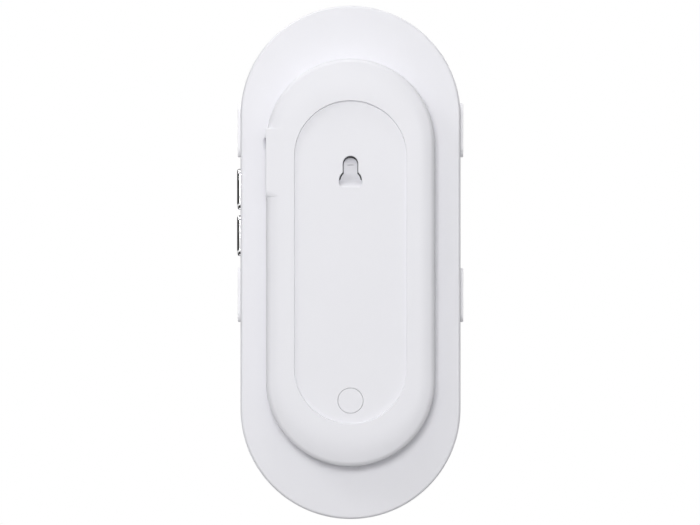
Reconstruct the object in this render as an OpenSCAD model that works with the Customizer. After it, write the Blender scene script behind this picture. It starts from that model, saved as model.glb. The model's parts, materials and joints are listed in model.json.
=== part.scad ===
// Battery video doorbell with a keyhole hub on its back.
// Frame: +Z runs up the doorbell, -Y is its front, and the wall is the plane Y = 0.
// The origin is the centre of the keyhole's slot, on the wall plane, where the screw holds it.
// Pieces are drawn lying down: x across, y along the body from its centre, z away from the wall.

/* [Body] */
// Width of the body across its straight sides
body_w = 60; // [57:0.5:68]
// Length of the body from end to end
body_l = 140; // [137:1:156]
// Depth of the body without the hub behind it
body_d = 14; // [13.5:0.5:18]
// Thickness of the front housing's side wall
side_wall = 2; // [1.8:0.1:2.5]
// Thickness of the front housing's face
face_wall = 2.6; // [2.4:0.1:3.2]
// Thickness of the rear housing's plate
plate_t = 2; // [1.8:0.1:2.6]
// Radius of the body's front edge
front_edge_r = 3; // [1.5:0.5:3.5]
// Radius of the body's rear edge
rear_edge_r = 0.7; // [0.3:0.1:0.9]

/* [Hub] */
// Width of the hub on the back
hub_w = 46; // [44:0.5:50]
// Length of the hub on the back
hub_l = 111; // [108:1:120]
// Height of the hub above the body's back
hub_d = 10; // [9.5:0.5:13]
// Thickness of the hub's side wall
hub_wall = 3.1; // [2.9:0.1:3.4]
// Radius of the hub's rear edge
hub_edge_r = 2.5; // [2:0.5:5]
// Width of the shallow pocket in the hub
pocket_w = 30.6; // [28:0.2:33]
// Length of the shallow pocket in the hub
pocket_l = 88; // [84:1:94]
// Depth of the shallow pocket
pocket_d = 1; // [0.6:0.1:1.4]
// Thickness of the hub's floor under the pocket
hub_floor = 1.6; // [1.4:0.1:2]

/* [Keyhole] */
// Height of the keyhole's slot above the body's centre
hang_y = 26.8; // [24:0.2:30]
// Width of the slot, for the screw's shank
slot_w = 4.2; // [4.1:0.1:5]
// Width of the round entry, for the screw's head
entry_w = 6.3; // [5.8:0.1:7.2]
// Distance from the slot's centre down to the entry's centre
entry_drop = 4.7; // [4:0.1:6]
// Depth of the keyhole under the pocket's floor
keyhole_d = 3; // [2.9:0.1:3.6]
// Thickness of the lip that the screw's head catches behind
lip_t = 1; // [0.8:0.1:1.2]
// Length of the ramp below the entry
ramp_l = 1.7; // [1.2:0.1:2.6]

/* [Port] */
// Height of the charging port above the body's centre
port_y = 27.1; // [25:0.1:29]
// Length of the squared land over the port
land_l = 18; // [17.4:0.1:20]
// Length of the port cover
cover_l = 15; // [14.5:0.1:16]
// Thickness of the port cover
cover_t = 1.4; // [1.2:0.1:1.5]
// Distance from the wall plane to the port's centre
port_z = 5.9; // [5.6:0.1:6.2]
// Length of the fingernail scoop beside the cover
scoop_l = 11.7; // [8:0.1:14]
// Depth of the fingernail scoop
scoop_d = 0.9; // [0.5:0.1:1.1]

/* [Side controls] */
// Height of the volume buttons' middle above the body's centre
keys_y = 13.6; // [10:0.2:16]
// Length of one volume button
key_l = 11.2; // [9:0.1:11.8]
// Width of one volume button
key_w = 3.4; // [2.6:0.1:4]
// Gap between the two volume buttons
key_gap = 1.5; // [1.2:0.1:4]
// How far a volume button stands out of the side
key_proud = 1; // [0.8:0.1:1.4]
// Length of one side pad
pad_l = 14.8; // [10:0.2:16]
// Width of one side pad
pad_w = 5.4; // [3:0.2:6]
// How far a side pad stands out of the side
pad_proud = 0.8; // [0.4:0.1:1.2]
// Distance between the centres of the two pads on one side
pad_pitch = 45; // [44:0.5:50]

/* [Front] */
// Width of the dark camera window
window_w = 36; // [32:0.5:42]
// Thickness of the camera window
window_t = 1.2; // [0.9:0.1:1.3]
// Distance between the window and the light ring
grille_gap = 10.65; // [10:0.05:12]
// Radius of the call button
call_r = 15; // [13:0.5:16]
// Radial width of the light ring around the call button
ring_w = 2.2; // [1.6:0.1:2.4]
// How far the call button stands out of the face
call_proud = 0.6; // [0.4:0.1:1]
// Radius of the motion sensor's lens
pir_r = 6; // [5.4:0.1:6.6]
// Radius of one speaker hole
hole_r = 0.5; // [0.4:0.05:0.6]

/* [Inside] */
// Gap between the main board and the rails of the side controls
board_gap = 1.2; // [1:0.1:1.6]
// Thickness of the main board
board_t = 1.2; // [1:0.1:1.6]
// Height of the bosses that carry the main board
boss_h = 5; // [4.8:0.1:5.4]
// Width of the battery
cell_w = 35; // [30:0.5:36]
// Length of the battery
cell_l = 43; // [38:0.5:44]
// Thickness of the battery
cell_t = 10; // [8:0.5:10.5]
// Radius of the pairing button
pair_r = 3.4; // [3:0.05:4]

/* [Motion and fits] */
// Travel of the call button
call_travel = 0.5; // [0.3:0.05:0.6]
// Travel of a volume button
key_travel = 0.5; // [0.3:0.05:0.6]
// Travel of the pairing button
pair_travel = 0.5; // [0.3:0.05:0.6]
// Gap around a button and around the port cover
run_gap = 0.15; // [0.1:0.05:0.2]
// Gap around a piece that stays where it is
fit_gap = 0.1; // [0.05:0.05:0.15]
// Gap left between a pressed button and its stop
stop_gap = 0.05; // [0.03:0.01:0.1]

/* [Hidden] */
$fn = 96;
eps = 0.01;
white = [0.93, 0.93, 0.95];
soft_white = [0.88, 0.88, 0.9];
black = [0.06, 0.06, 0.07];
glass = [0.04, 0.04, 0.06];
metal = [0.75, 0.75, 0.77];
green = [0.05, 0.3, 0.15];
gold = [0.8, 0.65, 0.3];
SIDES = [1, -1];

// Distances from the wall, front to back of the stack
plate_z = hub_d;
seam_z = plate_z + plate_t;
front_z = hub_d + body_d;
face_z = front_z - face_wall;
board_z1 = face_z - boss_h;
board_z0 = board_z1 - board_t;
side_z = (seam_z + front_z - front_edge_r) / 2;
floor_z = pocket_d + hub_floor;
key_z1 = pocket_d + keyhole_d;

// Insides of the shells
in_w = body_w - 2 * side_wall;
in_l = body_l - 2 * side_wall;
in_x = in_w / 2;
hub_in_w = hub_w - 2 * hub_wall;
hub_in_l = hub_l - 2 * hub_wall;
hub_in_x = hub_in_w / 2;
arc_y = (body_l - body_w) / 2;
hub_arc_y = (hub_l - hub_w) / 2;

// Screws: thread radius, its pilot hole, head radius and head height
screw_r = 0.8;
head_r = 1.7;
head_h = 1;
screw_in = 4;
boss_r = 2.2;
pin_gap = 0.02;

// Gasket cord in its grooves
seal_w = 0.8;
seal_t = 0.7;

// Hub
hub_screw_x = 9;
hub_screw_inset = 7.4;
hub_screw_y = hub_in_l / 2 - hub_screw_inset;
opening_w = hub_in_w - 2.8;
opening_l = 2 * hub_screw_y - 10;
opening_r = 6;
hub_seal_r = hub_in_x + 0.3 + seal_w;
head_chamber_w = entry_w + 0.2;
entry_y = hang_y - entry_drop;
key_rim = 1.6;
key_cover_t = 1;
key_block_x = head_chamber_w / 2 + key_rim;
key_block_y0 = entry_y - head_chamber_w / 2 - key_rim;
key_block_y1 = hang_y + head_chamber_w / 2 + key_rim;
detent_r = 0.3;
detent_l = 1.9;

// Charging port
land_draft = 1.3;
port_seal_t = 0.4;
port_x0 = hub_w / 2 - cover_t - port_seal_t - 2 * stop_gap;
cover_x0 = port_x0 + port_seal_t + stop_gap;
cover_x1 = hub_w / 2 - stop_gap;
cover_z0 = pocket_d + 0.8;
cover_z1 = hub_d - run_gap;
knuckle_r = cover_t / 2;
pin_x = (cover_x0 + cover_x1) / 2;
pin_y = port_y - cover_l / 2 + knuckle_r + run_gap;
pin_r = 0.4;
lug_t = 1;
lug_y1 = pin_y + knuckle_r + 0.2;
notch_y1 = lug_y1 + knuckle_r + 0.2;
mouth_l = 9.4;
mouth_w = 3.7;
plug_inset = 0.35;
usb_l = 7.3;
usb_w = 8.94;
usb_h = 3.16;
usb_wall = 0.3;
usb_x1 = hub_in_x - fit_gap;
usb_board_t = 1;
usb_board_l = 16.4;
usb_board_w = 13.2;
usb_board_x0 = usb_x1 - usb_board_w;
usb_board_z = port_z + usb_h / 2;
usb_boss_x = usb_board_x0 + 2.6;
usb_boss_y = usb_w / 2 + 1.5;

// Side controls
key_pitch = key_l + key_gap;
frame_t = 0.7;
flange_t = 0.85;
post_t = 0.4;
flange_rim = 0.7;
key_x1 = body_w / 2 + key_proud;
flange_x1 = in_x - frame_t - stop_gap;
flange_x0 = flange_x1 - flange_t;
post_x0 = flange_x0 - post_t;
tip_x = post_x0 - key_travel - stop_gap;
tip_t = 0.25;
switch_t = 0.8;
side_board_t = 0.8;
side_board_x1 = tip_x - tip_t - switch_t;
side_board_x0 = side_board_x1 - side_board_t;
side_board_l = 2 * key_l + key_gap + 4;
rail_t = 1.6;
groove_d = 0.8;
rail_gap = 1.3;
rail_lip = 0.9;
pad_in = 1.2;

// Front
tape_t = 0.15;
tape_w = 2;
window_z = front_z - window_t;
lens_y = arc_y;
call_y = -arc_y;
ring_r = call_r + run_gap + ring_w;
window_run = 2 * arc_y - ring_r - grille_gap - window_w / 2;
window_y = arc_y - window_run / 2;
window_l = window_w + window_run;
ring_t = 1.75;
flange_r = call_r + 1.3;
ring_z = front_z - ring_t;
call_flange_t = 1.1;
call_flange_z1 = ring_z - fit_gap;
call_flange_z0 = call_flange_z1 - call_flange_t;
call_post_z = call_flange_z0 - 0.6;
call_well_r = flange_r + 0.4;
membrane_t = 0.6;
membrane_pad_t = 0.25;
membrane_z1 = call_post_z - call_travel - stop_gap - membrane_pad_t;
membrane_z0 = membrane_z1 - membrane_t;
membrane_rim_t = 1;
rib_r = call_well_r + 1.5;
call_board_t = 0.8;
call_board_z1 = membrane_z0 - membrane_rim_t;
call_board_z0 = call_board_z1 - call_board_t;
ear_r = 2.1;
ear_at = rib_r + ear_r + fit_gap;
EARS = [30, 150, 270];
grille_y = call_y + ring_r + grille_gap / 2 + 0.6;
grille_pitch = 1.6;
speaker_w = 14;
speaker_l = 24;
speaker_t = 3.6;
speaker_seal_t = 0.5;
speaker_gap = 1.275;
speaker_y = call_y + rib_r + speaker_gap + speaker_w / 2;
mic_x = 15.5;

// Camera
led_at = 12;
LEDS = 6;
led_r = 1.5;
led_board_t = 0.8;
led_board_z1 = face_z - 1;
barrel_r = 5.5;
barrel_head_r = 7;
baffle_t = 0.8;
baffle_r = barrel_head_r + fit_gap + baffle_t;
camera_board_t = 1;
camera_w = 14;
sensor_t = 0.6;
holder_z0 = board_z1 + camera_board_t;
holder_z1 = led_board_z1 - led_board_t - 0.2;
barrel_z1 = window_z - 0.35;
led_board_r = led_at + 3.2;

// Motion sensor, between the camera's ring of lights and the window's lower end
pir_y = (window_y - window_l / 2 + lens_y - led_board_r) / 2 + 1.6;
pir_base_r = 4.5;
pir_can_r = 4.1;

// Main board
board_w = 2 * (side_board_x0 - rail_lip - board_gap);
board_y0 = call_y + rib_r - 3.4;
board_y1 = lens_y + 16;
board_boss_x = board_w / 2 - 3.3;
BOARD_BOSSES = [lens_y - camera_w / 2 - 5, board_y0 + 3];
can_w = 26;
can_t = 2.4;
can_l = 11.2;
can_low = 0.352;   // share of the spare room that is left below the can
can_room = lens_y - camera_w / 2 - 0.5 - pir_y - pir_base_r;
can_y0 = pir_y + pir_base_r + (can_room - can_l) * can_low;
cell_gap = 4.25;
cell_y1 = key_block_y0 - cell_gap;
cell_y0 = cell_y1 - cell_l;
foam_t = 0.5;
cell_z0 = floor_z + foam_t;
cell_z1 = cell_z0 + cell_t;
lead_x = 8;
lead_r = 0.5;
lead_bend = 2;
lead_z = cell_z0 + cell_t / 2;
connector_t = 1.7;
cushion_l = 9;
cushion_w = cell_w - 10;

// Pairing button
pair_y = -hang_y - 10.75;
pair_flange_t = 0.8;
pair_flange_z = floor_z + fit_gap;
pair_stem_z = pair_flange_z + pair_flange_t + 1;
pair_tip_z = pair_stem_z + pair_travel + stop_gap;
pair_board_z = pair_tip_z + 2.4;
pair_board_t = 0.8;
pair_board_w = 20;
pair_board_l = 9.6;
pair_boss_x = 7.4;

// Housing snaps
snap_w = 6;
snap_t = 1.2;
snap_l = 4.4;
barb_t = 0.6;
barb_h = 1;
SNAPS = [30, 90, 150];

// ---- Shared shapes ----

// Turns a piece drawn lying down into the doorbell's own frame
module placed() {
  rotate([90, 0, 0]) translate([0, -hang_y, 0]) children();
}

// Stadium outline: w across, l from end to end
module pill2d(w, l) {
  square([w, l - w], center = true);
  for (s = SIDES) translate([0, s * (l - w) / 2]) circle(d = w);
}

// Rectangle with round corners
module round_rect(w, l, r) {
  square([w - 2 * r, l], center = true);
  square([w, l - 2 * r], center = true);
  for (sx = SIDES, sy = SIDES) translate([sx * (w / 2 - r), sy * (l / 2 - r)]) circle(r);
}

// Half of a slab's cross-section, from its axis out, with a radius on either edge
module half_section(w, z0, z1, back_r, front_r) {
  translate([0, z0 + back_r]) square([w / 2, z1 - z0 - back_r - front_r]);
  if (back_r > 0) {
    translate([0, z0]) square([w / 2 - back_r, back_r]);
    translate([w / 2 - back_r, z0 + back_r]) circle(back_r);
  }
  if (front_r > 0) {
    translate([0, z1 - front_r]) square([w / 2 - front_r, front_r]);
    translate([w / 2 - front_r, z1 - front_r]) circle(front_r);
  }
}

// Stadium slab between two distances from the wall, with rounded edges
module pill(w, l, z0, z1, back_r = 0, front_r = 0) {
  if (back_r == 0 && front_r == 0)
    translate([0, 0, z0]) linear_extrude(z1 - z0) pill2d(w, l);
  else {
    for (turn = [0, 180])
      rotate([0, 0, turn]) translate([0, (l - w) / 2, 0])
        rotate_extrude(angle = 180) intersection() {
          half_section(w, z0, z1, back_r, front_r);
          translate([0, z0 - 1]) square([w, z1 - z0 + 2]);
        }
    rotate([90, 0, 0]) linear_extrude(l - w, center = true) {
      half_section(w, z0, z1, back_r, front_r);
      mirror([1, 0]) half_section(w, z0, z1, back_r, front_r);
    }
  }
}

module block(x0, x1, y0, y1, z0, z1) {
  translate([x0, y0, z0]) cube([x1 - x0, y1 - y0, z1 - z0]);
}

module rod(r, x, y, z0, z1) {
  translate([x, y, z0]) cylinder(r = r, h = z1 - z0);
}

module tube(r, bore, x, y, z0, z1) {
  difference() {
    rod(r, x, y, z0, z1);
    rod(bore, x, y, z0 - eps, z1 + eps);
  }
}

// Extrudes an outline drawn in (y, z) along x
module across(x0, x1) {
  translate([x0, 0, 0]) rotate([90, 0, 90]) linear_extrude(x1 - x0) children();
}

// Stadium across x, centred on (y, z), with its long side along y
module side_pill(x0, x1, y, z, w, l) {
  across(x0, x1) translate([y, z]) rotate(90) pill2d(w, l);
}

// Screw whose head lies against z_head and whose thread runs to the side that dir gives
module screw(x, y, z_head, dir, head = head_r) {
  translate([x, y, z_head]) mirror([0, 0, dir > 0 ? 0 : 1]) difference() {
    union() {
      translate([0, 0, -head_h]) cylinder(r = head, h = head_h);
      cylinder(r = screw_r, h = screw_in);
    }
    translate([0, 0, -head_h - eps]) cylinder(r = 0.5, h = 0.5 + eps, $fn = 6);
  }
}

module pilot(x, y, z_head, dir) {
  translate([x, y, z_head]) mirror([0, 0, dir > 0 ? 0 : 1])
    translate([0, 0, -eps]) cylinder(r = screw_r + pin_gap, h = screw_in + 0.3);
}

// ---- Shells ----

// Stadium ring of gasket cord, r being its outer half width
module cord_ring(r, run, z0, z1, grow = 0) {
  difference() {
    pill(2 * (r + grow), 2 * (r + grow) + 2 * run, z0, z1);
    pill(2 * (r - seal_w - grow), 2 * (r - seal_w - grow) + 2 * run, z0 - 1, z1 + 1);
  }
}

housing_seal_r = body_w / 2 - side_wall / 2 + seal_w / 2;

module snap_hook(turn) {
  rotate([0, 0, turn]) {
    block(in_x - 0.4 - snap_t, in_x - 0.4, -snap_w / 2, snap_w / 2, seam_z, seam_z + snap_l);
    block(in_x - 0.4 - snap_t, in_x - 0.4 + barb_t + 0.3, -snap_w / 2, snap_w / 2,
          seam_z + snap_l - barb_h, seam_z + snap_l);
  }
}

module at_snaps() {
  for (turn = [0, 180], a = SNAPS)
    rotate([0, 0, turn]) translate([0, arc_y, 0]) rotate([0, 0, a]) children();
}

module rear_housing() color(white) placed() difference() {
  union() {
    pill(body_w, body_l, plate_z, seam_z, back_r = rear_edge_r);
    at_snaps() snap_hook(0);
  }
  translate([0, 0, plate_z - 1]) linear_extrude(plate_t + 2)
    round_rect(opening_w, opening_l, opening_r);
  cord_ring(hub_seal_r, hub_arc_y, plate_z - 1, plate_z + seal_t, pin_gap);
  cord_ring(housing_seal_r, arc_y, seam_z - seal_t, seam_z + 0.001, pin_gap);
  for (sx = SIDES, sy = SIDES)
    rod(screw_r + 0.2, sx * hub_screw_x, sy * hub_screw_y, plate_z - 1, seam_z + 1);
  nail_scoop();
}

// Groove beside the hub that lets a fingernail under the port cover
scoop_tube_r = 1.5;
scoop_r = (scoop_d * scoop_d + scoop_l * scoop_l / 4) / (2 * scoop_d);
module nail_scoop() intersection() {
  translate([hub_w / 2, port_y + 1.2, plate_z + scoop_d - scoop_r])
    rotate([0, 90, 0]) rotate_extrude() translate([scoop_r - scoop_tube_r, 0]) circle(scoop_tube_r);
  block(hub_w / 2, hub_w / 2 + 3, port_y - scoop_l, port_y + scoop_l, plate_z - 1, plate_z + 2);
}

// Squared stretch of the hub's edge over the port, with drafted ends
module land() {
  y0 = port_y - land_l / 2;
  y1 = port_y + land_l / 2;
  across(hub_w / 2 - hub_edge_r - 1, hub_w / 2) polygon([
    [y0, 0], [y1, 0], [y1 + land_draft, hub_edge_r], [y1 + land_draft, hub_d],
    [y0 - land_draft, hub_d], [y0 - land_draft, hub_edge_r]
  ]);
}

// Keyhole outline: a slot of width w over a round entry of width e
module keyhole2d(w, e) {
  translate([0, hang_y]) circle(d = w);
  translate([-w / 2, entry_y]) square([w, entry_drop]);
  translate([0, entry_y]) circle(d = e);
}

module keyhole_cut() difference() {
  union() {
    translate([0, 0, pocket_d - 1]) linear_extrude(lip_t + 1 + eps) keyhole2d(slot_w, entry_w);
    translate([0, 0, pocket_d + lip_t]) linear_extrude(keyhole_d - lip_t + 1)
      keyhole2d(head_chamber_w, head_chamber_w);
  }
  // ramp that rises from the keyhole's floor to the pocket's floor
  across(-entry_w, entry_w) polygon([
    [entry_y - ramp_l, pocket_d], [entry_y, key_z1], [entry_y, key_z1 + 2],
    [entry_y - 3 * entry_w, key_z1 + 2], [entry_y - 3 * entry_w, pocket_d]
  ]);
}

module port_recess() {
  y0 = port_y - cover_l / 2;
  y1 = port_y + cover_l / 2;
  block(port_x0, hub_w / 2 + 1, y0, y1, cover_z0 - run_gap, hub_d - lug_t);
  block(port_x0, hub_w / 2 + 1, lug_y1, y1, cover_z0 - run_gap, hub_d + 1);
  side_pill(hub_in_x - 1, hub_w / 2, port_y, port_z, mouth_w, mouth_l);
}

module hub_shell() color(white) placed() difference() {
  union() {
    difference() {
      union() {
        pill(hub_w, hub_l, 0, hub_d, back_r = hub_edge_r);
        land();
      }
      pill(hub_in_w, hub_in_l, floor_z, hub_d + 1);
    }
    block(-key_block_x, key_block_x, key_block_y0, key_block_y1, floor_z - eps, key_z1);
    for (sx = SIDES) {
      for (sy = SIDES) rod(boss_r, sx * hub_screw_x, sy * hub_screw_y, floor_z - eps, hub_d);
      rod(1.9, usb_boss_x, port_y + sx * usb_boss_y, floor_z - eps, usb_board_z);
      rod(1.9, sx * pair_boss_x, pair_y, floor_z - eps, pair_board_z);
    }
  }
  translate([0, 0, -1]) linear_extrude(pocket_d + 1) pill2d(pocket_w, pocket_l);
  keyhole_cut();
  port_recess();
  rod(pin_r + pin_gap, pin_x, pin_y, pocket_d, hub_d - stop_gap);
  rod(pair_r + run_gap, 0, pair_y, 0, floor_z + 1);
  for (sx = SIDES) {
    for (sy = SIDES) pilot(sx * hub_screw_x, sy * hub_screw_y, hub_d, -1);
    pilot(usb_boss_x, port_y + sx * usb_boss_y, usb_board_z, -1);
    pilot(sx * pair_boss_x, pair_y, pair_board_z, -1);
  }
}

module front_housing() color(white) placed() difference() {
  union() {
    difference() {
      pill(body_w, body_l, seam_z, front_z, front_r = front_edge_r);
      pill(in_w, in_l, seam_z - 1, face_z);
    }
    for (sx = SIDES, y = BOARD_BOSSES) rod(boss_r, sx * board_boss_x, y, board_z1, face_z + eps);
    tube(rib_r, call_well_r, 0, call_y, membrane_z1, face_z + eps);
    for (a = EARS) translate([0, call_y, 0]) rotate([0, 0, a])
      rod(ear_r, ear_at, 0, call_board_z1, face_z + eps);
    tube(led_at + 3, led_at + 2.2, 0, lens_y, led_board_z1, face_z + eps);
    for (s = SIDES) side_rail(s);
  }
  // seat of the dark window and what looks through it
  translate([0, window_y, 0])
    pill(window_w + 2 * fit_gap, window_l + 2 * fit_gap, window_z - tape_t, front_z + 1);
  rod(baffle_r + fit_gap, 0, lens_y, face_z - 1, front_z);
  for (i = [1:LEDS]) led_place(i) rod(led_r + 0.2, 0, 0, face_z - 1, front_z);
  rod(pir_r, 0, pir_y, face_z - 1, front_z);
  // call button and its light ring
  rod(ring_r + fit_gap, 0, call_y, ring_z, front_z + 1);
  rod(call_well_r, 0, call_y, face_z - 1, front_z);
  // speaker, microphone and status light
  for (i = [-3:3], j = [-1:1])
    rod(hole_r, i * grille_pitch, grille_y + j * grille_pitch, face_z - 1, front_z + 1);
  rod(hole_r, -mic_x, grille_y, face_z - 1, front_z + 1);
  rod(1, mic_x, grille_y, face_z - 1, front_z + 1);
  // screws
  for (sx = SIDES, y = BOARD_BOSSES) pilot(sx * board_boss_x, y, board_z1, 1);
  for (a = EARS) translate([0, call_y, 0]) rotate([0, 0, a]) pilot(ear_at, 0, call_board_z1, 1);
  // side controls
  for (s = SIDES) side_pill(in_x - 1, body_w / 2 + 1, keys_y + s * key_pitch / 2, side_z,
                            key_w + 2 * run_gap, key_l + 2 * run_gap);
  for (sx = SIDES, sy = SIDES) mirror([sx > 0 ? 0 : 1, 0, 0])
    side_pill(body_w / 2 - pad_in - stop_gap, body_w / 2 + 1, keys_y + sy * pad_pitch / 2, side_z,
              pad_w + 2 * stop_gap, pad_l + 2 * stop_gap);
  // catches for the rear housing's snaps
  at_snaps() block(in_x - 1, in_x + barb_t + 0.2, -snap_w / 2 - 0.4, snap_w / 2 + 0.4,
                   seam_z + snap_l - barb_h - 0.2, seam_z + snap_l + 0.3);
}

// Grooved rail that holds one end of the side board
module side_rail(s) {
  y_end = keys_y + s * (side_board_l / 2 + groove_d / 2);
  difference() {
    block(side_board_x0 - rail_lip, in_x + eps, y_end - rail_t / 2, y_end + rail_t / 2,
          seam_z + rail_gap, face_z + eps);
    block(side_board_x0 - fit_gap, side_board_x1 + fit_gap, y_end - s * groove_d / 2 - groove_d,
          y_end - s * groove_d / 2 + groove_d, seam_z, face_z - 0.6);
  }
}

module housing_gasket() color("dimgray") placed()
  cord_ring(housing_seal_r, arc_y, seam_z - seal_t, seam_z);

module hub_gasket() color("dimgray") placed()
  cord_ring(hub_seal_r, hub_arc_y, plate_z, plate_z + seal_t);

module hub_screws() color(metal) placed()
  for (sx = SIDES, sy = SIDES) hub_screw(sx * hub_screw_x, sy * hub_screw_y);

module hub_screw(x, y) {
  rod(head_r, x, y, seam_z, seam_z + head_h);
  rod(screw_r, x, y, hub_d - screw_in, seam_z + eps);
}

module keyhole_cover() color(soft_white) placed() {
  block(-key_block_x, key_block_x, key_block_y0, key_block_y1, key_z1, key_z1 + key_cover_t);
  translate([-detent_l / 2, hang_y - detent_r, key_z1])
    rotate([0, 90, 0]) cylinder(r = detent_r, h = detent_l);
}

// ---- Pairing button ----

module pairing_button() color(white) placed() {
  rod(pair_r, 0, pair_y, pocket_d, pair_flange_z + eps);
  rod(pair_r + 0.9, 0, pair_y, pair_flange_z, pair_flange_z + pair_flange_t);
  rod(1.5, 0, pair_y, pair_flange_z, pair_stem_z);
}

module pairing_switch() color(black) placed() {
  rod(1.2, 0, pair_y, pair_tip_z, pair_board_z);
  block(-3, 3, pair_y - 3, pair_y + 3, pair_tip_z + 0.6, pair_board_z);
}

module pairing_board() color(green) placed() difference() {
  translate([0, pair_y, pair_board_z]) linear_extrude(pair_board_t)
    round_rect(pair_board_w, pair_board_l, 1.5);
  for (sx = SIDES)
    rod(screw_r + 0.2, sx * pair_boss_x, pair_y, pair_board_z - 1, pair_board_z + 2);
}

module pairing_screws() color(metal) placed()
  for (sx = SIDES) screw(sx * pair_boss_x, pair_y, pair_board_z + pair_board_t, -1);

// Flat cable from the pairing board up to the main board
module pairing_link() color(gold) placed() {
  link_x0 = -5;
  link_x1 = -1;
  t = 0.25;
  z0 = pair_board_z + pair_board_t;
  y0 = pair_y + pair_board_l / 2 - 2;
  y1 = pair_y + pair_board_l / 2 + 0.6;
  block(link_x0, link_x1, y0, y1, z0, z0 + t);
  block(link_x0, link_x1, y1 - t, y1, z0, board_z0);
  block(link_x0, link_x1, y1 - t, board_y0 + 3, board_z0 - t, board_z0);
}

// ---- Charging port ----

// Port cover seen along z: a plate with a knuckle around the pin
module cover_plan(from_y) {
  translate([cover_x0, from_y])
    square([cover_t, port_y + cover_l / 2 - run_gap - from_y]);
}

module port_cover() color(white) placed() difference() {
  union() {
    translate([0, 0, cover_z0]) linear_extrude(hub_d - lug_t - run_gap - cover_z0) {
      cover_plan(pin_y);
      translate([pin_x, pin_y]) circle(knuckle_r);
    }
    translate([0, 0, cover_z0]) linear_extrude(cover_z1 - cover_z0)
      cover_plan(notch_y1);
  }
  rod(pin_r + 2 * pin_gap, pin_x, pin_y, cover_z0 - 1, hub_d);
}

module port_cover_pin() color(metal) placed()
  rod(pin_r, pin_x, pin_y, pocket_d + stop_gap, hub_d - 2 * stop_gap);

module port_cover_seal() color("dimgray") placed() {
  y0 = pin_y + knuckle_r + 0.4;
  y1 = port_y + cover_l / 2 - 1;
  across(port_x0 + stop_gap, cover_x0) translate([(y0 + y1) / 2, port_z])
    round_rect(y1 - y0, mouth_w + 2, 1);
  side_pill(port_x0 - 0.9, port_x0 + 2 * stop_gap, port_y, port_z,
            mouth_w - 2 * plug_inset, mouth_l - 2 * plug_inset);
}

module charging_receptacle() color(metal) placed() difference() {
  side_pill(usb_x1 - usb_l, usb_x1, port_y, port_z, usb_h, usb_w);
  side_pill(usb_x1 - usb_l + 1, usb_x1 + 1, port_y, port_z, usb_h - 2 * usb_wall, usb_w - 2 * usb_wall);
}

module charging_tongue() color(black) placed()
  block(usb_x1 - usb_l + 1, usb_x1 - 0.6, port_y - 3.35, port_y + 3.35, port_z - 0.35, port_z + 0.35);

module charging_board() color(green) placed() difference() {
  block(usb_board_x0, usb_x1 - 0.2, port_y - usb_board_l / 2, port_y + usb_board_l / 2,
        usb_board_z, usb_board_z + usb_board_t);
  for (s = SIDES)
    rod(screw_r + 0.2, usb_boss_x, port_y + s * usb_boss_y, usb_board_z - 1, usb_board_z + 2);
}

module charging_screws() color(metal) placed()
  for (s = SIDES) screw(usb_boss_x, port_y + s * usb_boss_y, usb_board_z + usb_board_t, -1);

module charging_link() color(black) placed()
  block(usb_boss_x + 2.4, usb_boss_x + 6.4, port_y - 1.4, port_y + 1.4,
        usb_board_z + usb_board_t, board_z0);

// ---- Battery ----

module battery() color("lightsteelblue") placed() {
  translate([0, (cell_y0 + cell_y1) / 2, cell_z0]) linear_extrude(cell_t)
    round_rect(cell_w, cell_l, 2);
}

module battery_foam() color("dimgray") placed()
  block(-cell_w / 2 + 2, cell_w / 2 - 2, cell_y0 + 2, cell_y1 - 2, floor_z, cell_z0);

module battery_pad() color("dimgray") placed()
  block(-cushion_w / 2, cushion_w / 2, board_y0 + 6, board_y0 + 6 + cushion_l, cell_z1, board_z0);

module battery_leads() color("firebrick") placed()
  for (s = SIDES) translate([-lead_x + s, 0, 0]) {
    translate([0, cell_y1, lead_z]) rotate([-90, 0, 0]) cylinder(r = lead_r, h = 1.5);
    translate([0, cell_y1 + 1.5, lead_z + lead_bend]) rotate([0, 90, 0])
      rotate_extrude(angle = 90) translate([lead_bend, 0]) circle(lead_r);
    rod(lead_r, 0, cell_y1 + 1.5 + lead_bend, lead_z + lead_bend, board_z0 - connector_t);
  }

module battery_connector() color(soft_white) placed()
  block(-lead_x - 3, -lead_x + 3, cell_y1 + 1.5 + lead_bend - 2, cell_y1 + 1.5 + lead_bend + 2,
        board_z0 - connector_t, board_z0);

// ---- Side controls ----

module volume_button(s) color(metal) placed() {
  y = keys_y + s * key_pitch / 2;
  side_pill(flange_x1 - eps, key_x1, y, side_z, key_w, key_l);
  side_pill(flange_x0, flange_x1, y, side_z, key_w + 2 * flange_rim, key_l + 2 * flange_rim);
  side_pill(post_x0, flange_x0 + eps, y, side_z, 1.6, 3);
}

module volume_seals() color("dimgray") placed()
  for (s = SIDES) difference() {
    side_pill(in_x - frame_t, in_x, keys_y + s * key_pitch / 2, side_z,
              key_w + 2 * flange_rim, key_l + 2 * flange_rim);
    side_pill(in_x - frame_t - 1, in_x + 1, keys_y + s * key_pitch / 2, side_z,
              key_w + 2 * run_gap, key_l + 2 * run_gap);
  }

module volume_switches() color(black) placed()
  for (s = SIDES) {
    y = keys_y + s * key_pitch / 2;
    block(side_board_x1, side_board_x1 + switch_t, y - 2.3, y + 2.3, side_z - 1.8, side_z + 1.8);
    block(side_board_x1 + switch_t, tip_x, y - 1.2, y + 1.2, side_z - 0.7, side_z + 0.7);
  }

module side_board() color(green) placed()
  block(side_board_x0, side_board_x1, keys_y - side_board_l / 2, keys_y + side_board_l / 2,
        seam_z + rail_gap + 0.6, face_z - 0.8);

module side_link() color(gold) placed()
  block(board_w / 2 - 4, side_board_x0, keys_y - 2, keys_y + 2, board_z1, board_z1 + 0.2);

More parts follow.
